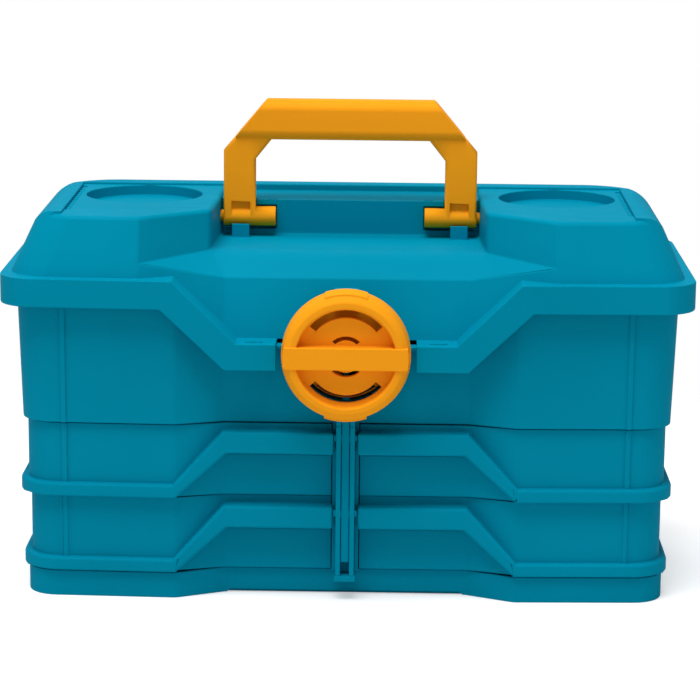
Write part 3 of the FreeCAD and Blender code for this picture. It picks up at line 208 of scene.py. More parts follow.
@dataclass(frozen=True)
class Finish:
    """What every finish has: a name, a slot, a colour and a shader that it coats.

    Attributes:
        name: The material's name.
        slot: The record's slot that it stands for; not used.
        colour: Linear base colour.
    """

    name: str
    slot: Slot
    colour: tuple[float, float, float]

    def material(self) -> bpy.types.Material:
        """Builds the material once.

        Returns:
            The material.
        """
        known = bpy.data.materials.get(self.name)
        if known:
            return known
        material = bpy.data.materials.new(self.name)
        material.use_nodes = True
        material.diffuse_color = (*self.colour, 1.0)
        nodes = NodeTree(material.node_tree)
        out = nodes.add("ShaderNodeOutputMaterial")
        shader = nodes.add("ShaderNodeBsdfPrincipled")
        self.coat(nodes, shader, nodes.add("ShaderNodeTexCoord").outputs["Object"])
        nodes.join(shader.outputs["BSDF"], out.inputs["Surface"])
        return material

    def coat(self, nodes: NodeTree, shader: bpy.types.Node, place: bpy.types.NodeSocket) -> None:
        """Gives the shader its colour, sheen and relief.

        Args:
            nodes: The material's tree.
            shader: The shader to coat.
            place: The socket that holds the place on the piece.

        Raises:
            NotImplementedError: Each finish has its own.
        """
        raise NotImplementedError

    def shades(self, nodes: NodeTree, dark: float, light: float) -> bpy.types.Node:
        """Adds a blend between a darker and a lighter shade of the colour.

        Args:
            nodes: The material's tree.
            dark: The darker shade, as a share of the colour.
            light: The lighter shade, as a share of the colour.

        Returns:
            The blend, whose factor is still free.
        """
        blend = nodes.add("ShaderNodeMix", data_type="RGBA")
        for name, share in (("A", dark), ("B", light)):
            blend.inputs[name].default_value = (*(min(1.0, part * share) for part in self.colour), 1.0)
        return blend

    def relief(self, nodes: NodeTree, shader: bpy.types.Node, height: bpy.types.NodeSocket, strength: float,
               depth: float) -> None:
        """Gives the shader a fine relief.

        Args:
            nodes: The material's tree.
            shader: The shader.
            height: The relief's pattern.
            strength: How strongly it shows.
            depth: Its depth, in metres.
        """
        bump = nodes.add("ShaderNodeBump")
        bump.inputs["Strength"].default_value = strength
        bump.inputs["Distance"].default_value = depth
        nodes.join(height, bump.inputs["Height"])
        nodes.join(bump.outputs["Normal"], shader.inputs["Normal"])


@dataclass(frozen=True)
class MouldedPlastic(Finish):
    """Injection-moulded plastic: an even colour, a fine spark-eroded grain and slight flow marks.

    Attributes:
        sheen_low: Roughness of the glossier patches.
        sheen_high: Roughness of the duller patches.
        drift: How far the colour drifts, as a share of itself.
        grain: Depth of the mould's grain, in metres.
        specular: Specular level.
        flow_marks: Flow marks per metre.
        specks: Specks of pigment per metre.
        speck_share: The specks' share of the drift; the flow marks have the rest.
        patches: Patches of sheen per metre.
        grains: Grains per metre.
        grain_strength: How strongly the grain shows.
    """

    sheen_low: float = 0.46
    sheen_high: float = 0.58
    drift: float = 0.06
    grain: float = 0.00004
    specular: float = 0.01
    flow_marks: float = 9.0
    specks: float = 420.0
    speck_share: float = 0.25
    patches: float = 60.0
    grains: float = 1500.0
    grain_strength: float = 0.35

    def coat(self, nodes: NodeTree, shader: bpy.types.Node, place: bpy.types.NodeSocket) -> None:
        """Gives the shader its colour, sheen and grain.

        Args:
            nodes: The material's tree.
            shader: The shader to coat.
            place: The socket that holds the place on the piece.
        """
        shader.inputs["Specular IOR Level"].default_value = self.specular
        blend = self.shades(nodes, 1 - self.drift, 1 + self.drift)
        both = nodes.add("ShaderNodeMath", operation="MULTIPLY_ADD")
        both.inputs[1].default_value = self.speck_share
        nodes.join(nodes.noise(place, self.specks, 2.0), both.inputs[0])
        flow = nodes.noise(place, self.flow_marks, 3.0)
        nodes.join(nodes.spread(flow, 0.0, 1 - self.speck_share), both.inputs[2])
        nodes.join(both.outputs["Value"], blend.inputs["Factor"])
        nodes.join(blend.outputs["Result"], shader.inputs["Base Color"])
        patches = nodes.noise(place, self.patches, 4.0)
        nodes.join(nodes.spread(patches, self.sheen_low, self.sheen_high), shader.inputs["Roughness"])
        self.relief(nodes, shader, nodes.noise(place, self.grains, 2.0), self.grain_strength, self.grain)


@dataclass(frozen=True)
class DrawnSteel(Finish):
    """Zinc-plated drawn steel, with fine marks and patches of duller plating.

    Attributes:
        sheen_low: Roughness of the brighter patches.
        sheen_high: Roughness of the duller patches.
        dull: The duller patches' colour, as a share of the colour.
        patches: Patches of plating per metre.
        marks: Drawing marks per metre.
        mark_strength: How strongly the marks show.
        mark_deep: Depth of the marks, in metres.
    """

    sheen_low: float = 0.28
    sheen_high: float = 0.45
    dull: float = 0.8
    patches: float = 300.0
    marks: float = 2500.0
    mark_strength: float = 0.3
    mark_deep: float = 0.00002

    def coat(self, nodes: NodeTree, shader: bpy.types.Node, place: bpy.types.NodeSocket) -> None:
        """Gives the shader its colour, sheen and marks.

        Args:
            nodes: The material's tree.
            shader: The shader to coat.
            place: The socket that holds the place on the piece.
        """
        shader.inputs["Metallic"].default_value = 1.0
        patches = nodes.noise(place, self.patches, 3.0)
        blend = self.shades(nodes, self.dull, 1.0)
        nodes.join(patches, blend.inputs["Factor"])
        nodes.join(blend.outputs["Result"], shader.inputs["Base Color"])
        nodes.join(nodes.spread(patches, self.sheen_low, self.sheen_high), shader.inputs["Roughness"])
        self.relief(nodes, shader, nodes.noise(place, self.marks, 2.0), self.mark_strength, self.mark_deep)


CASE = MouldedPlastic("teal_case", Slot.CASE, (0.0, 0.25, 0.385))
DIVIDER = MouldedPlastic("teal_divider", Slot.DIVIDER, (0.0, 0.2, 0.315), 0.45, 0.58)
ORANGE = MouldedPlastic("orange_handle", Slot.HANDLE, (0.98, 0.355, 0.012), 0.38, 0.5)
WASHER = MouldedPlastic("dark_washer", Slot.WASHER, (0.05, 0.05, 0.055), 0.5, 0.62)
STEEL = DrawnSteel("plated_steel", Slot.PIN, (0.62, 0.62, 0.60))


@dataclass(frozen=True)
class EdgeRule:
    """A radius for the edges in one region of a piece.

    Attributes:
        radius: The radius, in millimetres; 0 leaves the edge sharp.
        low: Lowest corner of the region, in millimetres.
        high: Highest corner of the region, in millimetres.
        turn: Which way the edge is folded.
    """

    radius: float
    low: tuple[float, float, float]
    high: tuple[float, float, float]
    turn: Turn = Turn.ANY

    def takes(self, middle: Vector, turn: Turn) -> bool:
        """Whether an edge comes under this rule.

        Args:
            middle: The edge's middle, in metres, with its x taken as positive.
            turn: Which way the edge is folded.

        Returns:
            True if it does.
        """
        inside = all(lo * MM <= at <= hi * MM for lo, at, hi in zip(self.low, middle, self.high))
        return inside and self.turn in (Turn.ANY, turn)


def body_of(node: str) -> str:
    """The body that a CAD node rides on."""
    return frame["nodes"][node]["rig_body"]


@dataclass
class MouldedPiece:
    """A moulding that keeps a CAD node's form and gets its rounded edges and its finish.

    Attributes:
        node: The node that it stands for.
        finish: Its finish.
        rules: Radii for its edges; the first that takes an edge holds.
        radius: The radius of every other edge, in millimetres.
        segments: Steps in a rounded edge.
        flat: The angle under which neighbouring faces are joined.
        crease: The angle over which an edge is rounded.
    """

    node: str
    finish: Finish
    rules: Sequence[EdgeRule]
    radius: float
    segments: int = 3
    flat: float = FLAT_ANGLE
    crease: float = CREASE_ANGLE

    def welded(self) -> bmesh.types.BMesh:
        """Merges a copy of the node's triangles into whole faces.

        Returns:
            The merged mesh.
        """
        welded = bmesh.new()
        welded.from_mesh(frame["nodes"][self.node].data)
        bmesh.ops.remove_doubles(welded, verts=welded.verts, dist=WELD)
        bmesh.ops.dissolve_degenerate(welded, edges=welded.edges, dist=WELD)
        bmesh.ops.dissolve_limit(welded, angle_limit=self.flat, verts=welded.verts, edges=welded.edges,
                                 delimit=set())
        bmesh.ops.connect_verts_concave(welded, faces=welded.faces)
        return welded

    def weigh(self, welded: bmesh.types.BMesh) -> float:
        """Gives each sharp edge its share of the largest radius.

        Args:
            welded: The merged mesh.

        Returns:
            The largest radius, in metres.
        """
        largest = max([self.radius, *(rule.radius for rule in self.rules)])
        weight = welded.edges.layers.float.new(WEIGHT_LAYER)
        for edge in welded.edges:
            if len(edge.link_faces) != 2 or edge.calc_face_angle(0.0) < self.crease:
                continue
            middle = (edge.verts[0].co + edge.verts[1].co) / 2
            middle.x = abs(middle.x)
            turn = Turn.OUT if edge.is_convex else Turn.IN
            radius = next((rule.radius for rule in self.rules if rule.takes(middle, turn)), self.radius)
            edge[weight] = radius / largest
        return largest * MM

    def build(self) -> bpy.types.Object:
        """Makes the piece, with rounded edges, in the node's place.

        Returns:
            The finished object.
        """
        welded = self.welded()
        width = self.weigh(welded)
        mesh = bpy.data.meshes.new(self.node + "_moulding")
        welded.to_mesh(mesh)
        welded.free()
        rough = placed(self.node + "_rough", mesh)
        bevel = rough.modifiers.new("rounding", "BEVEL")
        bevel.limit_method = "WEIGHT"
        bevel.width = width
        bevel.segments = self.segments
        bevel.use_clamp_overlap = False
        bevel.loop_slide = False
        bevel.miter_outer = "MITER_SHARP"
        piece = finished(rough, self.node + "_dressed")
        return self.dress(piece)

    def dress(self, piece: bpy.types.Object) -> bpy.types.Object:
        """Gives the piece its finish and its place in the frame.

        Args:
            piece: The finished object.

        Returns:
            The same object.
        """
        settle(piece, body_of(self.node), self.finish)
        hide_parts(self.node)
        return piece


def finished(rough: bpy.types.Object, name: str) -> bpy.types.Object:
    """Turns an object with modifiers into a plain mesh, smooth-shaded and with its normals evened.

    Args:
        rough: The object, which is removed.
        name: The new object's name.

    Returns:
        The new object, at the origin, which keeps only the modifier that evens its normals.
    """
    bpy.context.view_layer.update()
    mesh = bpy.data.meshes.new_from_object(rough.evaluated_get(bpy.context.evaluated_depsgraph_get()))
    rough.modifiers.clear()
    bpy.data.objects.remove(rough)
    mesh.name = name
    tidy = bmesh.new()
    tidy.from_mesh(mesh)
    bmesh.ops.remove_doubles(tidy, verts=tidy.verts, dist=WELD)
    bmesh.ops.dissolve_degenerate(tidy, edges=tidy.edges, dist=WELD)
    tidy.to_mesh(mesh)
    tidy.free()
    if WEIGHT_LAYER in mesh.attributes:
        mesh.attributes.remove(mesh.attributes[WEIGHT_LAYER])
    mesh.shade_smooth()
    mesh.set_sharp_from_angle(angle=SMOOTH_ANGLE)
    piece = placed(name, mesh)
    weigh = piece.modifiers.new("even_shading", "WEIGHTED_NORMAL")
    weigh.keep_sharp = True
    weigh.weight = LARGE_FACES_FIRST
    return piece


def cleaned(body: bmesh.types.BMesh, name: str) -> bpy.types.Mesh:
    """Turns a finished bmesh into a mesh with its faces outward.

    Args:
        body: The bmesh, which is freed.
        name: The mesh's name.

    Returns:
        The mesh.
    """
    bmesh.ops.recalc_face_normals(body, faces=body.faces)
    mesh = bpy.data.meshes.new(name)
    body.to_mesh(mesh)
    body.free()
    return mesh


def lathe(profile: Sequence[tuple[float, float]], steps: int) -> bmesh.types.BMesh:
    """Turns a profile about the upright axis.

    Args:
        profile: Radius and height of each point, from the top of the axis to its foot, in metres.
        steps: Faces round the axis.

    Returns:
        The turned body, closed at both ends.
    """
    body = bmesh.new()
    rings = []
    for radius, height in profile[1:-1]:
        rings.append([body.verts.new((radius * math.cos(turn), radius * math.sin(turn), height))
                      for turn in (2 * math.pi * step / steps for step in range(steps))])
    top, foot = (body.verts.new((0.0, 0.0, height)) for _, height in (profile[0], profile[-1]))
    for step in range(steps):
        after = (step + 1) % steps
        body.faces.new((top, rings[0][step], rings[0][after]))
        body.faces.new((foot, rings[-1][after], rings[-1][step]))
        for upper, lower in zip(rings, rings[1:]):
            body.faces.new((upper[step], lower[step], lower[after], upper[after]))
    return body


class Scatter:
    """A geometry-node tree that sets one pattern piece on every point of a mesh."""

    def __init__(self, name: str, pattern: bpy.types.Object, finish: Finish, flip: bool = False) -> None:
        """Builds the tree.

        Args:
            name: The tree's name.
            pattern: The piece that is repeated.
            finish: The finish of the copies.
            flip: Whether the copies stand on their heads.
        """
        self.tree = bpy.data.node_groups.new(name, "GeometryNodeTree")
        self.socket("Geometry", "INPUT", "Geometry")
        self.inputs = {word.lower(): self.socket(word, "INPUT", kind)
                       for word, kind in (("Pattern", "Object"), ("Turn", "Float"), ("Finish", "Material"))}
        self.socket("Geometry", "OUTPUT", "Geometry")
        nodes = NodeTree(self.tree)
        start, end = nodes.add("NodeGroupInput"), nodes.add("NodeGroupOutput")
        piece = nodes.add("GeometryNodeObjectInfo")
        tilt = nodes.add("ShaderNodeCombineXYZ")
        copies = nodes.add("GeometryNodeInstanceOnPoints")
        real = nodes.add("GeometryNodeRealizeInstances")
        coat = nodes.add("GeometryNodeSetMaterial")
        nodes.join(start.outputs["Pattern"], piece.inputs["Object"])
        nodes.join(start.outputs["Turn"], tilt.inputs["X"])
        nodes.join(start.outputs["Geometry"], copies.inputs["Points"])
        nodes.join(piece.outputs["Geometry"], copies.inputs["Instance"])
        nodes.join(tilt.outputs["Vector"], copies.inputs["Rotation"])
        nodes.join(copies.outputs["Instances"], real.inputs["Geometry"])
        nodes.join(real.outputs["Geometry"], coat.inputs["Geometry"])
        nodes.join(start.outputs["Finish"], coat.inputs["Material"])
        nodes.join(coat.outputs["Geometry"], end.inputs["Geometry"])
        self.values = {"pattern": pattern, "turn": math.pi if flip else 0.0, "finish": finish.material()}
        self.pattern = pattern

    def socket(self, name: str, way: str, kind: str) -> str:
        """Adds a socket to the tree's own face.

        Args:
            name: The socket's name.
            way: INPUT or OUTPUT.
            kind: What it carries.

        Returns:
            The socket's identifier.
        """
        made = self.tree.interface.new_socket(name, in_out=way, socket_type="NodeSocket" + kind)
        return made.identifier

    def over(self, name: str, places: Sequence[Vector]) -> bpy.types.Object:
        """Sets a copy on each place, keeps the result as one mesh and removes the pattern piece.

        Args:
            name: The object's name.
            places: The places, in metres.

        Returns:
            The new object, at the origin.
        """
        mesh = bpy.data.meshes.new(name + "_places")
        mesh.from_pydata([tuple(place) for place in places], [], [])
        rough = placed(name + "_rough", mesh)
        spread = rough.modifiers.new("copies", "NODES")
        spread.node_group = self.tree
        for key, identifier in self.inputs.items():
            spread[identifier] = self.values[key]
        piece = finished(rough, name)
        bpy.data.objects.remove(self.pattern)
        return piece


def settle(piece: bpy.types.Object, body: str, finish: Finish) -> None:
    """Puts a finish on a piece and makes it ride on a body.

    Args:
        piece: The object.
        body: The body's name.
        finish: The finish.
    """
    piece.data.materials.clear()
    piece.data.materials.append(finish.material())
    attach(piece, body)


@dataclass(frozen=True)
class Lamp:
    """A soft square lamp.

    Attributes:
        name: The lamp's name.
        place: Its place, in metres.
        size: Its side, in metres.
        power: Its power, in watts.
    """

    name: str
    place: tuple[float, float, float]
    size: float
    power: float

    def hang(self, aim: Vector) -> None:
        """Adds the lamp.

        Args:
            aim: The point that it looks at, in metres.
        """
        data = bpy.data.lights.new(self.name, "AREA")
        data.shape = "SQUARE"
        data.size = self.size
        data.energy = self.power
        lamp = placed(self.name, data)
        lamp.location = Vector(self.place)
        lamp.rotation_euler = (aim - lamp.location).to_track_quat("-Z", "Y").to_euler()


@dataclass
class Studio:
    """The floor, the lamps, the sky and the camera.

    Attributes:
        lens: The camera's focal length, in millimetres.
        sensor: The width of its sensor, in millimetres.
        distance: Its distance from the aim, in metres.
        aim: The point that it looks at, in metres.
        azimuth: Its angle to the right of the front, in degrees.
        elevation: Its angle over the horizon, in degrees.
        roll: Its turn about its own axis, in degrees.
        shift: Its sideways shift, as a share of the picture.
        clip: The nearest and the farthest thing that it sees, in metres.
        floor_half: Half the floor's side, in metres.
        floor_grey: The floor's share of reflected light.
        floor_glow: What the camera sees added to the floor.
        shadow_reach: Where the floor starts to fade to white and where it has, in metres.
        sky: Brightness of the sky as the cabinet sees it.
        lamps: The lamps.
    """

    lens: float = 133.7
    sensor: float = 36.0
    distance: float = 1.744
    aim: tuple[float, float, float] = (0.0, 0.0, 0.1493)
    azimuth: float = 0.9
    elevation: float = 12.15
    roll: float = 0.55
    shift: float = 1.5 / 700
    clip: tuple[float, float] = (0.05, 50.0)
    floor_half: float = 6.0
    floor_grey: float = 0.8
    floor_glow: float = 0.42
    shadow_reach: tuple[float, float] = (0.28, 0.6)
    sky: float = 0.36
    lamps: tuple[Lamp, ...] = (
        Lamp("key", (-0.25, -0.7, 2.5), 1.5, 60.0),
        Lamp("back", (-0.4, 1.6, 1.9), 1.4, 10.0),
    )

    def camera(self) -> None:
        """Adds the camera at its viewing angle."""
        data = bpy.data.cameras.new("camera")
        data.lens = self.lens
        data.sensor_width = self.sensor
        data.shift_x = self.shift
        data.clip_start, data.clip_end = self.clip
        camera = placed("camera", data)
        azimuth, elevation, roll = (math.radians(turn) for turn in (self.azimuth, self.elevation, self.roll))
        away = Vector((math.sin(azimuth) * math.cos(elevation), -math.cos(azimuth) * math.cos(elevation),
                       math.sin(elevation)))
        camera.location = Vector(self.aim) + away * self.distance
        level = (-away).to_track_quat("-Z", "Y").to_matrix()
        camera.rotation_euler = (level @ Matrix.Rotation(roll, 3, "Z")).to_euler()
        bpy.context.scene.camera = camera

    def world(self) -> None:
        """Adds a plain grey sky that the camera sees as white."""
        world = bpy.data.worlds.new("studio")
        world.use_nodes = True
        bpy.context.scene.world = world
        nodes = NodeTree(world.node_tree)
        out = nodes.add("ShaderNodeOutputWorld")
        path = nodes.add("ShaderNodeLightPath")
        seen = nodes.add("ShaderNodeMath", operation="MAXIMUM")
        nodes.join(path.outputs["Is Camera Ray"], seen.inputs[0])
        nodes.join(path.outputs["Is Transmission Ray"], seen.inputs[1])
        sky, white = nodes.tone("ShaderNodeBackground"), nodes.tone("ShaderNodeBackground")
        sky.inputs["Strength"].default_value = self.sky
        mixed = nodes.mix(seen.outputs["Value"], sky.outputs["Background"], white.outputs["Background"])
        nodes.join(mixed, out.inputs["Surface"])

    def floor_material(self) -> bpy.types.Material:
        """Makes the floor's material, which keeps the shadow and fades to white around it.

        Returns:
            The material.
        """
        material = bpy.data.materials.new("studio_floor")
        material.use_nodes = True
        nodes = NodeTree(material.node_tree)
        out = nodes.add("ShaderNodeOutputMaterial")
        matt = nodes.tone("ShaderNodeBsdfDiffuse", self.floor_grey)
        glow, white = nodes.tone("ShaderNodeEmission"), nodes.tone("ShaderNodeEmission")
        path = nodes.add("ShaderNodeLightPath")
        level = nodes.add("ShaderNodeMath", operation="MULTIPLY")
        level.inputs[1].default_value = self.floor_glow
        nodes.join(path.outputs["Is Camera Ray"], level.inputs[0])
        nodes.join(level.outputs["Value"], glow.inputs["Strength"])
        both = nodes.add("ShaderNodeAddShader")
        nodes.join(matt.outputs["BSDF"], both.inputs[0])
        nodes.join(glow.outputs["Emission"], both.inputs[1])
        away = nodes.add("ShaderNodeVectorMath", operation="LENGTH")
        nodes.join(nodes.add("ShaderNodeTexCoord").outputs["Object"], away.inputs[0])
        fade = nodes.add("ShaderNodeMapRange")
        fade.inputs["From Min"].default_value, fade.inputs["From Max"].default_value = self.shadow_reach
        nodes.join(away.outputs["Value"], fade.inputs["Value"])
        seen = nodes.add("ShaderNodeMath", operation="MULTIPLY")
        nodes.join(fade.outputs["Result"], seen.inputs[0])
        nodes.join(path.outputs["Is Camera Ray"], seen.inputs[1])
        mixed = nodes.mix(seen.outputs["Value"], both.outputs["Shader"], white.outputs["Emission"])
        nodes.join(mixed, out.inputs["Surface"])
        return material

    def floor(self) -> None:
        """Adds a plain pale floor that keeps the cabinet's shadow."""
        half = self.floor_half
        mesh = bpy.data.meshes.new("floor")
        corners = [(-half, -half, 0.0), (half, -half, 0.0), (half, half, 0.0), (-half, half, 0.0)]
        mesh.from_pydata(corners, [], [(0, 1, 2, 3)])
        mesh.materials.append(self.floor_material())
        floor = placed("floor", mesh)

    def build(self) -> None:
        """Adds the whole studio."""
        bpy.context.scene.view_settings.view_transform = "Standard"
        self.camera()
        self.world()
        self.floor()
        for lamp in self.lamps:
            lamp.hang(Vector(self.aim))
        LOG.info("studio: camera, %d lamps, floor and sky", len(self.lamps))


@dataclass
class SubAssembly:
    """A group of mouldings that are built together.

    Attributes:
        name: The group's name in the log.
        pieces: Its mouldings.
    """

    name: str
    pieces: list[MouldedPiece] = field(default_factory=list)

    def report(self, made: bpy.types.Object, body: str) -> None:
        """Logs a finished piece and the body that it rides on."""
        LOG.info("%s: %s, %d faces, on %s", self.name, made.name, len(made.data.polygons), body)

    def build(self) -> None:
        """Builds each moulding and reports it."""
        for piece in self.pieces:
            self.report(piece.build(), body_of(piece.node))


@dataclass
class Lid(SubAssembly):
    """The lid's shell and its hinge pins. Sizes and places are in millimetres, with x taken as positive.

    Attributes:
        name: The group's name in the log.
        near: Half the thickness of the slabs in which level edges are looked for.
        margin: Room round a region.
        top: Height of the lid's border.
        pod_top: Height of the pods.
        groove: The inner side of a border's groove.
        border: The inner side of a border.
        groove_half: Half the groove's length.
        groove_deep: The groove's depth.
        border_span: Front and back end of a border.
        rear_span: Front and back of the rounded rear of the top.
        pod_span: Inner and outer side of a pod.
        front: A line in front of the pods.
        pod_back: Back of the pods.
        deck: Height of the deck.
        deck_front: Front edge of the deck.
        deck_back: Back edge of the deck.
        deck_half: Half the deck's width.
        pod_wall: Inner face and back end of the pods' inner walls.
        wall_corner: Back end of those walls' front corners.
        fan_side: Inner and outer end of the slope's side feet.
        fan_deep: Front and back of those feet.
        fan_low: A height under those feet.
        fan_front: Back of the slope's front edge.
        fan_edge: Lowest and highest point of the slope's front edge.
        corner_side: Inner and outer side of a pod's front corner.
        corner_deep: Front and back of that corner.
        shelf: Height of the shelf round the lid.
        dip: Height of the rim's dipped foot.
        rim_front: A line behind the rim's front face.
        rim_side: A line inside the rim's side face.
        rim_back: The inner and outer side of the rim's rear face.
        past: A line past the rim.
        cup_place: Middle of a recess.
        cup: Radius of a recess.
        cup_deep: Depth of a recess.
        mouth_round: Radius of a recess's mouth.
        floor_round: Radius at a recess's floor.
        groove_round: Radius of the groove's edges.
        border_round: Radius of the borders' edges.
        pod_round: Radius of the pods' upper edges.
        rear_round: Radius of the top's rear edge.
        turn_round: Radius where that edge turns, and of a pod's front corner.
        wall_round: Radius at the foot of the pods' inner walls.
        back_round: Radius at the back of the deck.
        soft: Radius of the deck's front edge.
        foot_round: Radius of the slope's feet and front edge.
        rim_round: Radius of the rim's and the shelf's edges.
        plain_round: Radius of every other edge.
        segments: Steps in a rounded edge.
        flat: The angle under which neighbouring faces are joined.
        pin_round: Radius of the pins' edges.
    """

    name: str = "lid"
    near: float = 0.5
    margin: float = 1.0
    top: float = 252.5
    pod_top: float = 250.7
    groove: float = 179.8
    border: float = 183.0
    groove_half: float = 60.0
    groove_deep: float = 1.5
    border_span: tuple[float, float] = (-75.0, 57.0)
    rear_span: tuple[float, float] = (59.9, 80.0)
    pod_span: tuple[float, float] = (85.0, 191.0)
    front: float = -90.0
    pod_back: float = 60.0
    deck: float = 224.5
    deck_front: float = -46.0
    deck_back: float = 15.4
    deck_half: float = 89.0
    pod_wall: tuple[float, float] = (86.0, 14.5)
    wall_corner: float = -42.0
    fan_side: tuple[float, float] = (82.0, 112.0)
    fan_deep: tuple[float, float] = (-68.0, -54.0)
    fan_low: float = 216.0
    fan_front: float = -63.0
    fan_edge: tuple[float, float] = (209.4, 223.0)
    corner_side: tuple[float, float] = (131.0, 134.0)
    corner_deep: tuple[float, float] = (-84.0, -76.0)
    shelf: float = 212.7
    dip: float = 172.4
    rim_front: float = -93.5
    rim_side: float = 221.0
    rim_back: tuple[float, float] = (96.0, 98.0)
    past: float = 100.0
    cup_place: tuple[float, float] = (138.0, 19.0)
    cup: float = 38.7
    cup_deep: float = 7.0
    mouth_round: float = 0.7
    floor_round: float = 0.8
    groove_round: float = 0.35
    border_round: float = 0.8
    pod_round: float = 3.0
    rear_round: float = 1.6
    turn_round: float = 1.0
    wall_round: float = 2.5
    back_round: float = 2.0
    soft: float = 8.0
    foot_round: float = 0.8
    rim_round: float = 0.6
    plain_round: float = 0.3
    segments: int = 4
    flat: float = math.radians(5.0)
    pin_round: float = 0.3

    def slab(self, height: float) -> tuple[float, float]:
        """The bottom and the top of a thin slab about a height."""
        return height - self.near, height + self.near

    def recess_rules(self) -> list[EdgeRule]:
        """Radii of the round recesses, the grooves and the borders.

        Returns:
            The rules.
        """
        reach = self.cup + self.margin
        low, high = ([at + way * reach for at in self.cup_place] for way in (-1.0, 1.0))
        mouth, floor = self.slab(self.pod_top), self.slab(self.pod_top - self.cup_deep)
        return [
            EdgeRule(self.mouth_round, (*low, mouth[0]), (*high, mouth[1]), Turn.OUT),
            EdgeRule(self.floor_round, (*low, floor[0]), (*high, floor[1]), Turn.IN),
            EdgeRule(self.groove_round,
                     (self.groove - self.near, -self.groove_half, self.pod_top - self.groove_deep),
                     (self.border + self.near, self.groove_half, mouth[1])),
            EdgeRule(self.border_round, (self.border - self.near, self.border_span[0], self.top - self.near),
                     (self.border + self.near, self.border_span[1], BEYOND)),
        ]

    def pod_rules(self) -> list[EdgeRule]:
        """Radii of the pods' tops, the rear edge and the pods' inner walls.

        Returns:
            The rules.
        """
        brim, deck = self.slab(self.pod_top), self.slab(self.deck)
        turn, rear = self.border_span[1], self.rear_span
        return [
            EdgeRule(self.pod_round, (self.pod_span[0], self.front, brim[0]),
                     (self.pod_span[1], self.pod_back, brim[1]), Turn.OUT),
            EdgeRule(self.rear_round, (-self.near, rear[0], self.top - self.near),
                     (BEYOND, rear[1], BEYOND), Turn.OUT),
            EdgeRule(self.turn_round, (-self.near, turn, self.top - self.near),
                     (BEYOND, rear[0], BEYOND), Turn.OUT),
            EdgeRule(self.pod_round,
                     (self.deck_half - self.margin, self.deck_front - self.margin, self.deck + self.margin),
                     (self.deck_half + self.margin, self.wall_corner, brim[0]), Turn.OUT),
            EdgeRule(self.wall_round, (self.pod_wall[0], self.deck_front - self.near, deck[0]),
                     (self.deck_half + self.margin, self.pod_wall[1], deck[1]), Turn.IN),
            EdgeRule(self.back_round, (-self.near, self.deck_back - self.near, deck[0]),
                     (self.pod_wall[0] + self.near, self.deck_back + self.near, deck[1]), Turn.IN),
        ]

    def slope_rules(self) -> list[EdgeRule]:
        """Radii of the slope in front of the deck and of the pods' front corners.

        Returns:
            The rules.
        """
        deck = self.slab(self.deck)
        return [
            EdgeRule(self.soft, (-self.near, self.deck_front - self.margin, deck[0]),
                     (self.deck_half, self.deck_front + self.margin, deck[1]), Turn.OUT),
            EdgeRule(self.foot_round, (self.fan_side[0], self.fan_deep[0], self.fan_low),
                     (self.fan_side[1], self.fan_deep[1], deck[1]), Turn.IN),
            EdgeRule(self.foot_round, (-self.near, self.front, self.fan_edge[0]),
                     (self.corner_side[1], self.fan_front, self.fan_edge[1]), Turn.OUT),
            EdgeRule(self.turn_round, (self.corner_side[0], self.corner_deep[0], self.fan_edge[1]),
                     (self.corner_side[1], self.corner_deep[1], self.pod_top - self.near), Turn.OUT),
        ]

    def rim_rules(self) -> list[EdgeRule]:
        """Radii of the rim and of the shelf over it.

        Returns:
            The rules.
        """
        foot, shelf, past = self.slab(self.dip), self.slab(self.shelf), self.past
        corners = [
            ((-self.near, -past, foot[0]), (BEYOND, self.rim_front, shelf[1]), Turn.OUT),
            ((self.rim_side, -past, foot[0]), (BEYOND, self.rim_back[0], shelf[1]), Turn.OUT),
            ((-self.near, self.rim_back[0], shelf[0]), (BEYOND, self.rim_back[1], shelf[1]), Turn.OUT),
            ((-self.near, -past, foot[0]), (BEYOND, past, foot[1]), Turn.IN),
            ((-self.near, -past, shelf[0]), (BEYOND, past, shelf[1]), Turn.IN),
        ]
        return [EdgeRule(self.rim_round, low, high, turn) for low, high, turn in corners]

    def __post_init__(self) -> None:
        """Lists the lid's mouldings."""
        rules = [*self.recess_rules(), *self.pod_rules(), *self.slope_rules(), *self.rim_rules()]
        self.pieces = [
            MouldedPiece("lid_shell", CASE, rules, self.plain_round, self.segments, flat=self.flat),
            MouldedPiece("lid_hinge_pins", STEEL, (), self.pin_round),
        ]


@dataclass
class Cabinet(SubAssembly):
    """The bin, the rear frame, the base and the centre post, with the lock bar, the trays' pins and spacers.

    Attributes:
        name: The group's name in the log.
        wall_round: Radius of the thin-walled mouldings' edges, in millimetres.
        broad_round: Radius of the base's and the post's edges, in millimetres.
        pin_round: Radius of the pins' and the spacers' edges, in millimetres.
    """

    name: str = "cabinet"
    wall_round: float = 0.4
    broad_round: float = 0.6
    pin_round: float = 0.2

    def __post_init__(self) -> None:
        """Lists the cabinet's mouldings."""
        self.pieces = [
            MouldedPiece("upper_bin", CASE, (), self.wall_round),
            MouldedPiece("rear_frame", CASE, (), self.wall_round),
            MouldedPiece("base_tray", CASE, (), self.broad_round),
            MouldedPiece("centre_post", CASE, (), self.broad_round),
            MouldedPiece("tray_lock_bar", CASE, (), self.wall_round),
            *(MouldedPiece(f"tray_pivot_pin_{side}", STEEL, (), self.pin_round) for side in SIDES),
            *(MouldedPiece(f"tray_spacers_{side}", WASHER, (), self.pin_round) for side in SIDES),
        ]


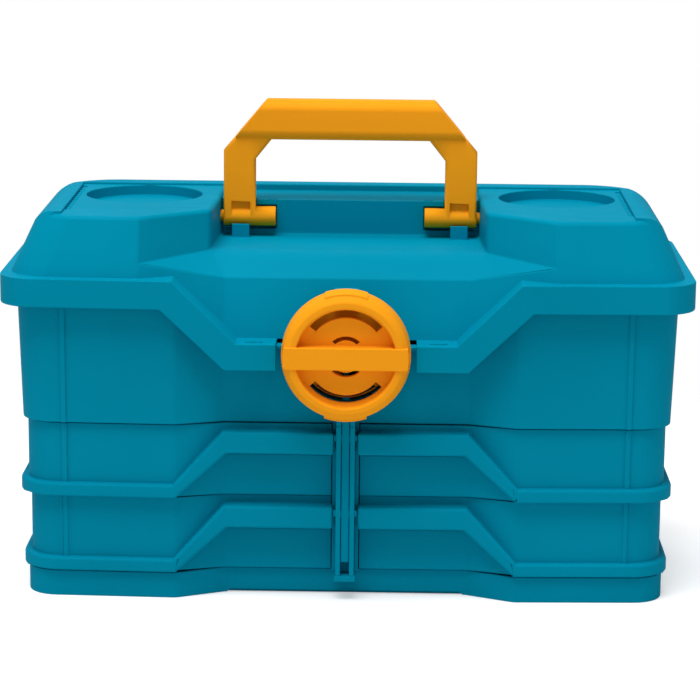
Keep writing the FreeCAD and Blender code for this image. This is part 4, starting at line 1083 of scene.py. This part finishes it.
@dataclass
class Trays(SubAssembly):
    """The four swing-out trays and their dividers. Sizes are in millimetres, with x taken as positive.

    Attributes:
        name: The group's name in the log.
        feet: Height of each tier's foot.
        near: Room over and under an edge that is looked for.
        ridge_high: Height of the ridge over the foot.
        lip_top: Height of the pull lip's top over the foot.
        front: A line in front of the trays.
        front_wall: Back of the front wall in the recess.
        lobe_wall: Back of the front wall beside the recess.
        recess_half: Half the recess's width.
        lobe: Where the plain front of the lobe starts.
        broad_round: Radius of the ridge's and the lip's edges.
        foot_round: Radius of the front wall's foot.
        foot_high: Height over the foot up to which its edges are looked for.
        plain_round: Radius of every other edge.
    """

    name: str = "trays"
    feet: tuple[float, float] = (17.5, 67.8)
    near: float = 0.4
    ridge_high: float = 9.2
    lip_top: float = 44.8
    front: float = -100.0
    front_wall: float = -75.0
    lobe_wall: float = -81.0
    recess_half: float = 79.0
    lobe: float = 112.0
    broad_round: float = 2.0
    foot_round: float = 1.0
    foot_high: float = 1.0
    plain_round: float = 0.3

    def rules(self, foot: float) -> list[EdgeRule]:
        """Radii of one tray's edges: broad on the ridge and the lip, small elsewhere.

        Args:
            foot: Height of the tier's foot, in millimetres.

        Returns:
            The rules.
        """
        ridge, lip = foot + self.ridge_high, foot + self.lip_top
        low, high = ridge - self.near, lip + self.near
        return [
            EdgeRule(self.broad_round, (0.0, self.front, low),
                     (self.recess_half, self.front_wall, high), Turn.OUT),
            EdgeRule(self.broad_round, (self.recess_half, self.front, low),
                     (self.lobe, self.lobe_wall, high), Turn.OUT),
            EdgeRule(self.broad_round, (self.lobe, self.front, low),
                     (BEYOND, BEYOND, ridge + self.near), Turn.OUT),
            EdgeRule(self.foot_round, (0.0, self.front, foot),
                     (BEYOND, self.front_wall, foot + self.foot_high), Turn.OUT),
        ]

    def __post_init__(self) -> None:
        """Lists the trays' mouldings."""
        for tier, foot in zip(("low", "up"), self.feet):
            for side in SIDES:
                self.pieces += [
                    MouldedPiece(f"{tier}_tray_{side}", CASE, self.rules(foot), self.plain_round),
                    MouldedPiece(f"{tier}_catch_{side}", CASE, (), self.plain_round),
                    MouldedPiece(f"{tier}_dividers_{side}", DIVIDER, (), self.plain_round),
                ]


@dataclass(frozen=True)
class ScrewSet:
    """One set of screws.

    Attributes:
        node: The node that it stands for.
        face: Height of the heads' faces, in millimetres.
        length: Length of a screw, in millimetres.
        flip: Whether the screws point upward.
    """

    node: str
    face: float
    length: float
    flip: bool


@dataclass
class Screws(SubAssembly):
    """The screws through the base and through the bin's floor into the frame. Sizes are in millimetres.

    Attributes:
        name: The group's name in the log.
        sets: The two sets.
        places: Where the screws of each set stand.
        head: Radius of a head.
        head_high: Height of a head.
        head_rims: What is taken off the head's upper and lower rim.
        drive: Radius of the drive recess at its floor and at its mouth.
        drive_deep: Depth of the drive recess.
        shank: Radius of a shank, to the thread's crest.
        core: Radius of the thread's root, as a share of the shank's.
        pitch: Pitch of the thread.
        neck: Plain length under the head.
        tip: Length at the tip that gets no more thread.
        point: Radius of the blunt point, as a share of the root's.
        point_high: Height of the blunt point.
        steps: Faces round a screw.
    """

    name: str = "screws"
    sets: tuple[ScrewSet, ...] = (
        ScrewSet("base_screws", 0.4, 28.0, True),
        ScrewSet("bin_screws", 122.0, 18.0, False),
    )
    places: tuple[tuple[float, float], ...] = ((0.0, -40.0), (0.0, 20.0), (50.0, 66.0), (-50.0, 66.0))
    head: float = 3.4
    head_high: float = 2.0
    head_rims: tuple[float, float] = (0.4, 0.2)
    drive: tuple[float, float] = (1.0, 1.45)
    drive_deep: float = 1.1
    shank: float = 1.6
    core: float = 0.78
    pitch: float = 1.2
    neck: float = 1.0
    tip: float = 1.6
    point: float = 0.5
    point_high: float = 0.3
    steps: int = 24

    def profile(self, length: float) -> list[tuple[float, float]]:
        """Radius and height of one screw's outline, from its head's face at 0 down to its point.

        Args:
            length: Its length with the head.

        Returns:
            The outline.
        """
        upper, lower = self.head_rims
        root, foot = self.shank * self.core, -self.head_high
        outline = [
            (0.0, -self.drive_deep), (self.drive[0], -self.drive_deep), (self.drive[1], 0.0),
            (self.head - upper, 0.0), (self.head, -upper),
            (self.head, foot + lower), (self.head - lower, foot), (self.shank, foot),
        ]
        height = foot - self.neck
        while height - self.pitch > -length + self.tip:
            outline += [(root, height), (self.shank, height - self.pitch / 2)]
            height -= self.pitch
        return outline + [(root, height), (root * self.point, -length + self.point_high), (0.0, -length)]

    def pattern(self, length: float) -> bpy.types.Object:
        """Makes one screw that hangs from its head's face.

        Args:
            length: Its length with the head.

        Returns:
            The screw.
        """
        outline = [(radius * MM, at * MM) for radius, at in self.profile(length)]
        return placed("screw_pattern", cleaned(lathe(outline, self.steps), "screw_pattern"))

    def build(self) -> None:
        """Sets a screw in each place and reports both sets."""
        for screws in self.sets:
            node, pattern = screws.node, self.pattern(screws.length)
            places = [Vector((x, y, screws.face)) * MM for x, y in self.places]
            made = Scatter(node + "_copies", pattern, STEEL, screws.flip).over(node + "_dressed", places)
            settle(made, body_of(node), STEEL)
            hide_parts(node)
            self.report(made, body_of(node))


@dataclass
class GrooveTeeth(SubAssembly):
    """The fine saw teeth in the grooves along the lid's side borders. Sizes are in millimetres.

    Attributes:
        name: The group's name in the log.
        across: The groove's middle, from the centre.
        first: Where the row starts.
        last: Where the row ends.
        step: Distance between teeth.
        sunk: Height of the teeth's feet.
        size: Width, length and height of a tooth.
        crest: Width and length of its crest, as shares of the foot's.
        carrier: The node whose body the teeth ride on.
    """

    name: str = "groove_teeth"
    across: float = 181.2
    first: float = -42.0
    last: float = 40.0
    step: float = 9.0
    sunk: float = 249.0
    size: tuple[float, float, float] = (2.8, 5.5, 1.6)
    crest: tuple[float, float] = (0.9, 0.3)
    carrier: str = "lid_shell"

    def pattern(self) -> bpy.types.Object:
        """Makes one tooth: a wedge with a blunt crest.

        Returns:
            The tooth.
        """
        wide, long, high = (part * MM for part in self.size)
        corners = [(-wide / 2, -long / 2), (wide / 2, -long / 2), (wide / 2, long / 2), (-wide / 2, long / 2)]
        foot = [(x, y, 0.0) for x, y in corners]
        crest = [(x * self.crest[0], y * self.crest[1], high) for x, y in corners]
        body = bmesh.new()
        low, top = ([body.verts.new(corner) for corner in ring] for ring in (foot, crest))
        body.faces.new(low)
        body.faces.new(top)
        for face in zip(low, low[1:] + low[:1], top[1:] + top[:1], top):
            body.faces.new(face)
        return placed("tooth_pattern", cleaned(body, "tooth_pattern"))

    def build(self) -> None:
        """Sets both rows of teeth and reports them."""
        rows = int((self.last - self.first) / self.step) + 1
        places = [Vector((side * self.across, self.first + row * self.step, self.sunk)) * MM
                  for side in SIDES.values() for row in range(rows)]
        made = Scatter("teeth_copies", self.pattern(), CASE).over("groove_teeth", places)
        settle(made, body_of(self.carrier), CASE)
        self.report(made, body_of(self.carrier))


@dataclass
class Furniture(SubAssembly):
    """The orange handle and knob, with the cam and the knob's fixings. Sizes are in millimetres.

    Attributes:
        name: The group's name in the log.
        grip_foot: Height over which the handle keeps its grip's own rounding.
        knuckle_top: Height under which the handle keeps its knuckles' own rounding.
        leg_round: Radius of the handle's legs.
        leg_segments: Steps in that radius.
        leg_crease: The angle over which an edge of the legs is rounded.
        ring_face: Front and back of the knob's raised ring.
        ring_round: Radius of that ring's edges.
        knob_round: Radius of the knob's other edges.
        knob_segments: Steps in the knob's radii.
        part_round: Radius of the skirt's and the cam's edges.
        washer_round: Radius of the washer's edges.
        screw_round: Radius of the screw's edges.
    """

    name: str = "furniture"
    grip_foot: float = 285.0
    knuckle_top: float = 246.0
    leg_round: float = 0.25
    leg_segments: int = 2
    leg_crease: float = math.radians(60.0)
    ring_face: tuple[float, float] = (-111.5, -110.5)
    ring_round: float = 1.0
    knob_round: float = 0.4
    knob_segments: int = 4
    part_round: float = 0.3
    washer_round: float = 0.15
    screw_round: float = 0.2

    def ring_rules(self) -> list[EdgeRule]:
        """The broad rounding on the raised ring of the knob's face."""
        front, back = self.ring_face
        return [EdgeRule(self.ring_round, (0.0, front, 0.0), (BEYOND, back, BEYOND), Turn.OUT)]

    def handle_rules(self) -> list[EdgeRule]:
        """Leaves the rounded grip and the knuckles as they are, so that only the legs get small radii.

        Returns:
            The rules.
        """
        return [
            EdgeRule(0.0, (0.0, -BEYOND, self.grip_foot), (BEYOND, BEYOND, BEYOND)),
            EdgeRule(0.0, (0.0, -BEYOND, 0.0), (BEYOND, BEYOND, self.knuckle_top)),
        ]

    def __post_init__(self) -> None:
        """Lists the furniture's mouldings."""
        self.pieces = [
            MouldedPiece("carry_handle", ORANGE, self.handle_rules(), self.leg_round, self.leg_segments,
                         crease=self.leg_crease),
            MouldedPiece("latch_knob", ORANGE, self.ring_rules(), self.knob_round, self.knob_segments),
            MouldedPiece("knob_skirt", ORANGE, (), self.part_round),
            MouldedPiece("latch_cam", ORANGE, (), self.part_round),
            MouldedPiece("knob_washer", WASHER, (), self.washer_round),
            MouldedPiece("knob_screw", STEEL, (), self.screw_round),
        ]


def main() -> None:
    """Builds the studio and every sub-assembly in order."""
    logging.basicConfig(level=logging.INFO, format="%(name)s %(message)s")
    Studio().build()
    for group in (Cabinet(), Screws(), Trays(), Lid(), GrooveTeeth(), Furniture()):
        group.build()


if __name__ == "__main__":
    main()
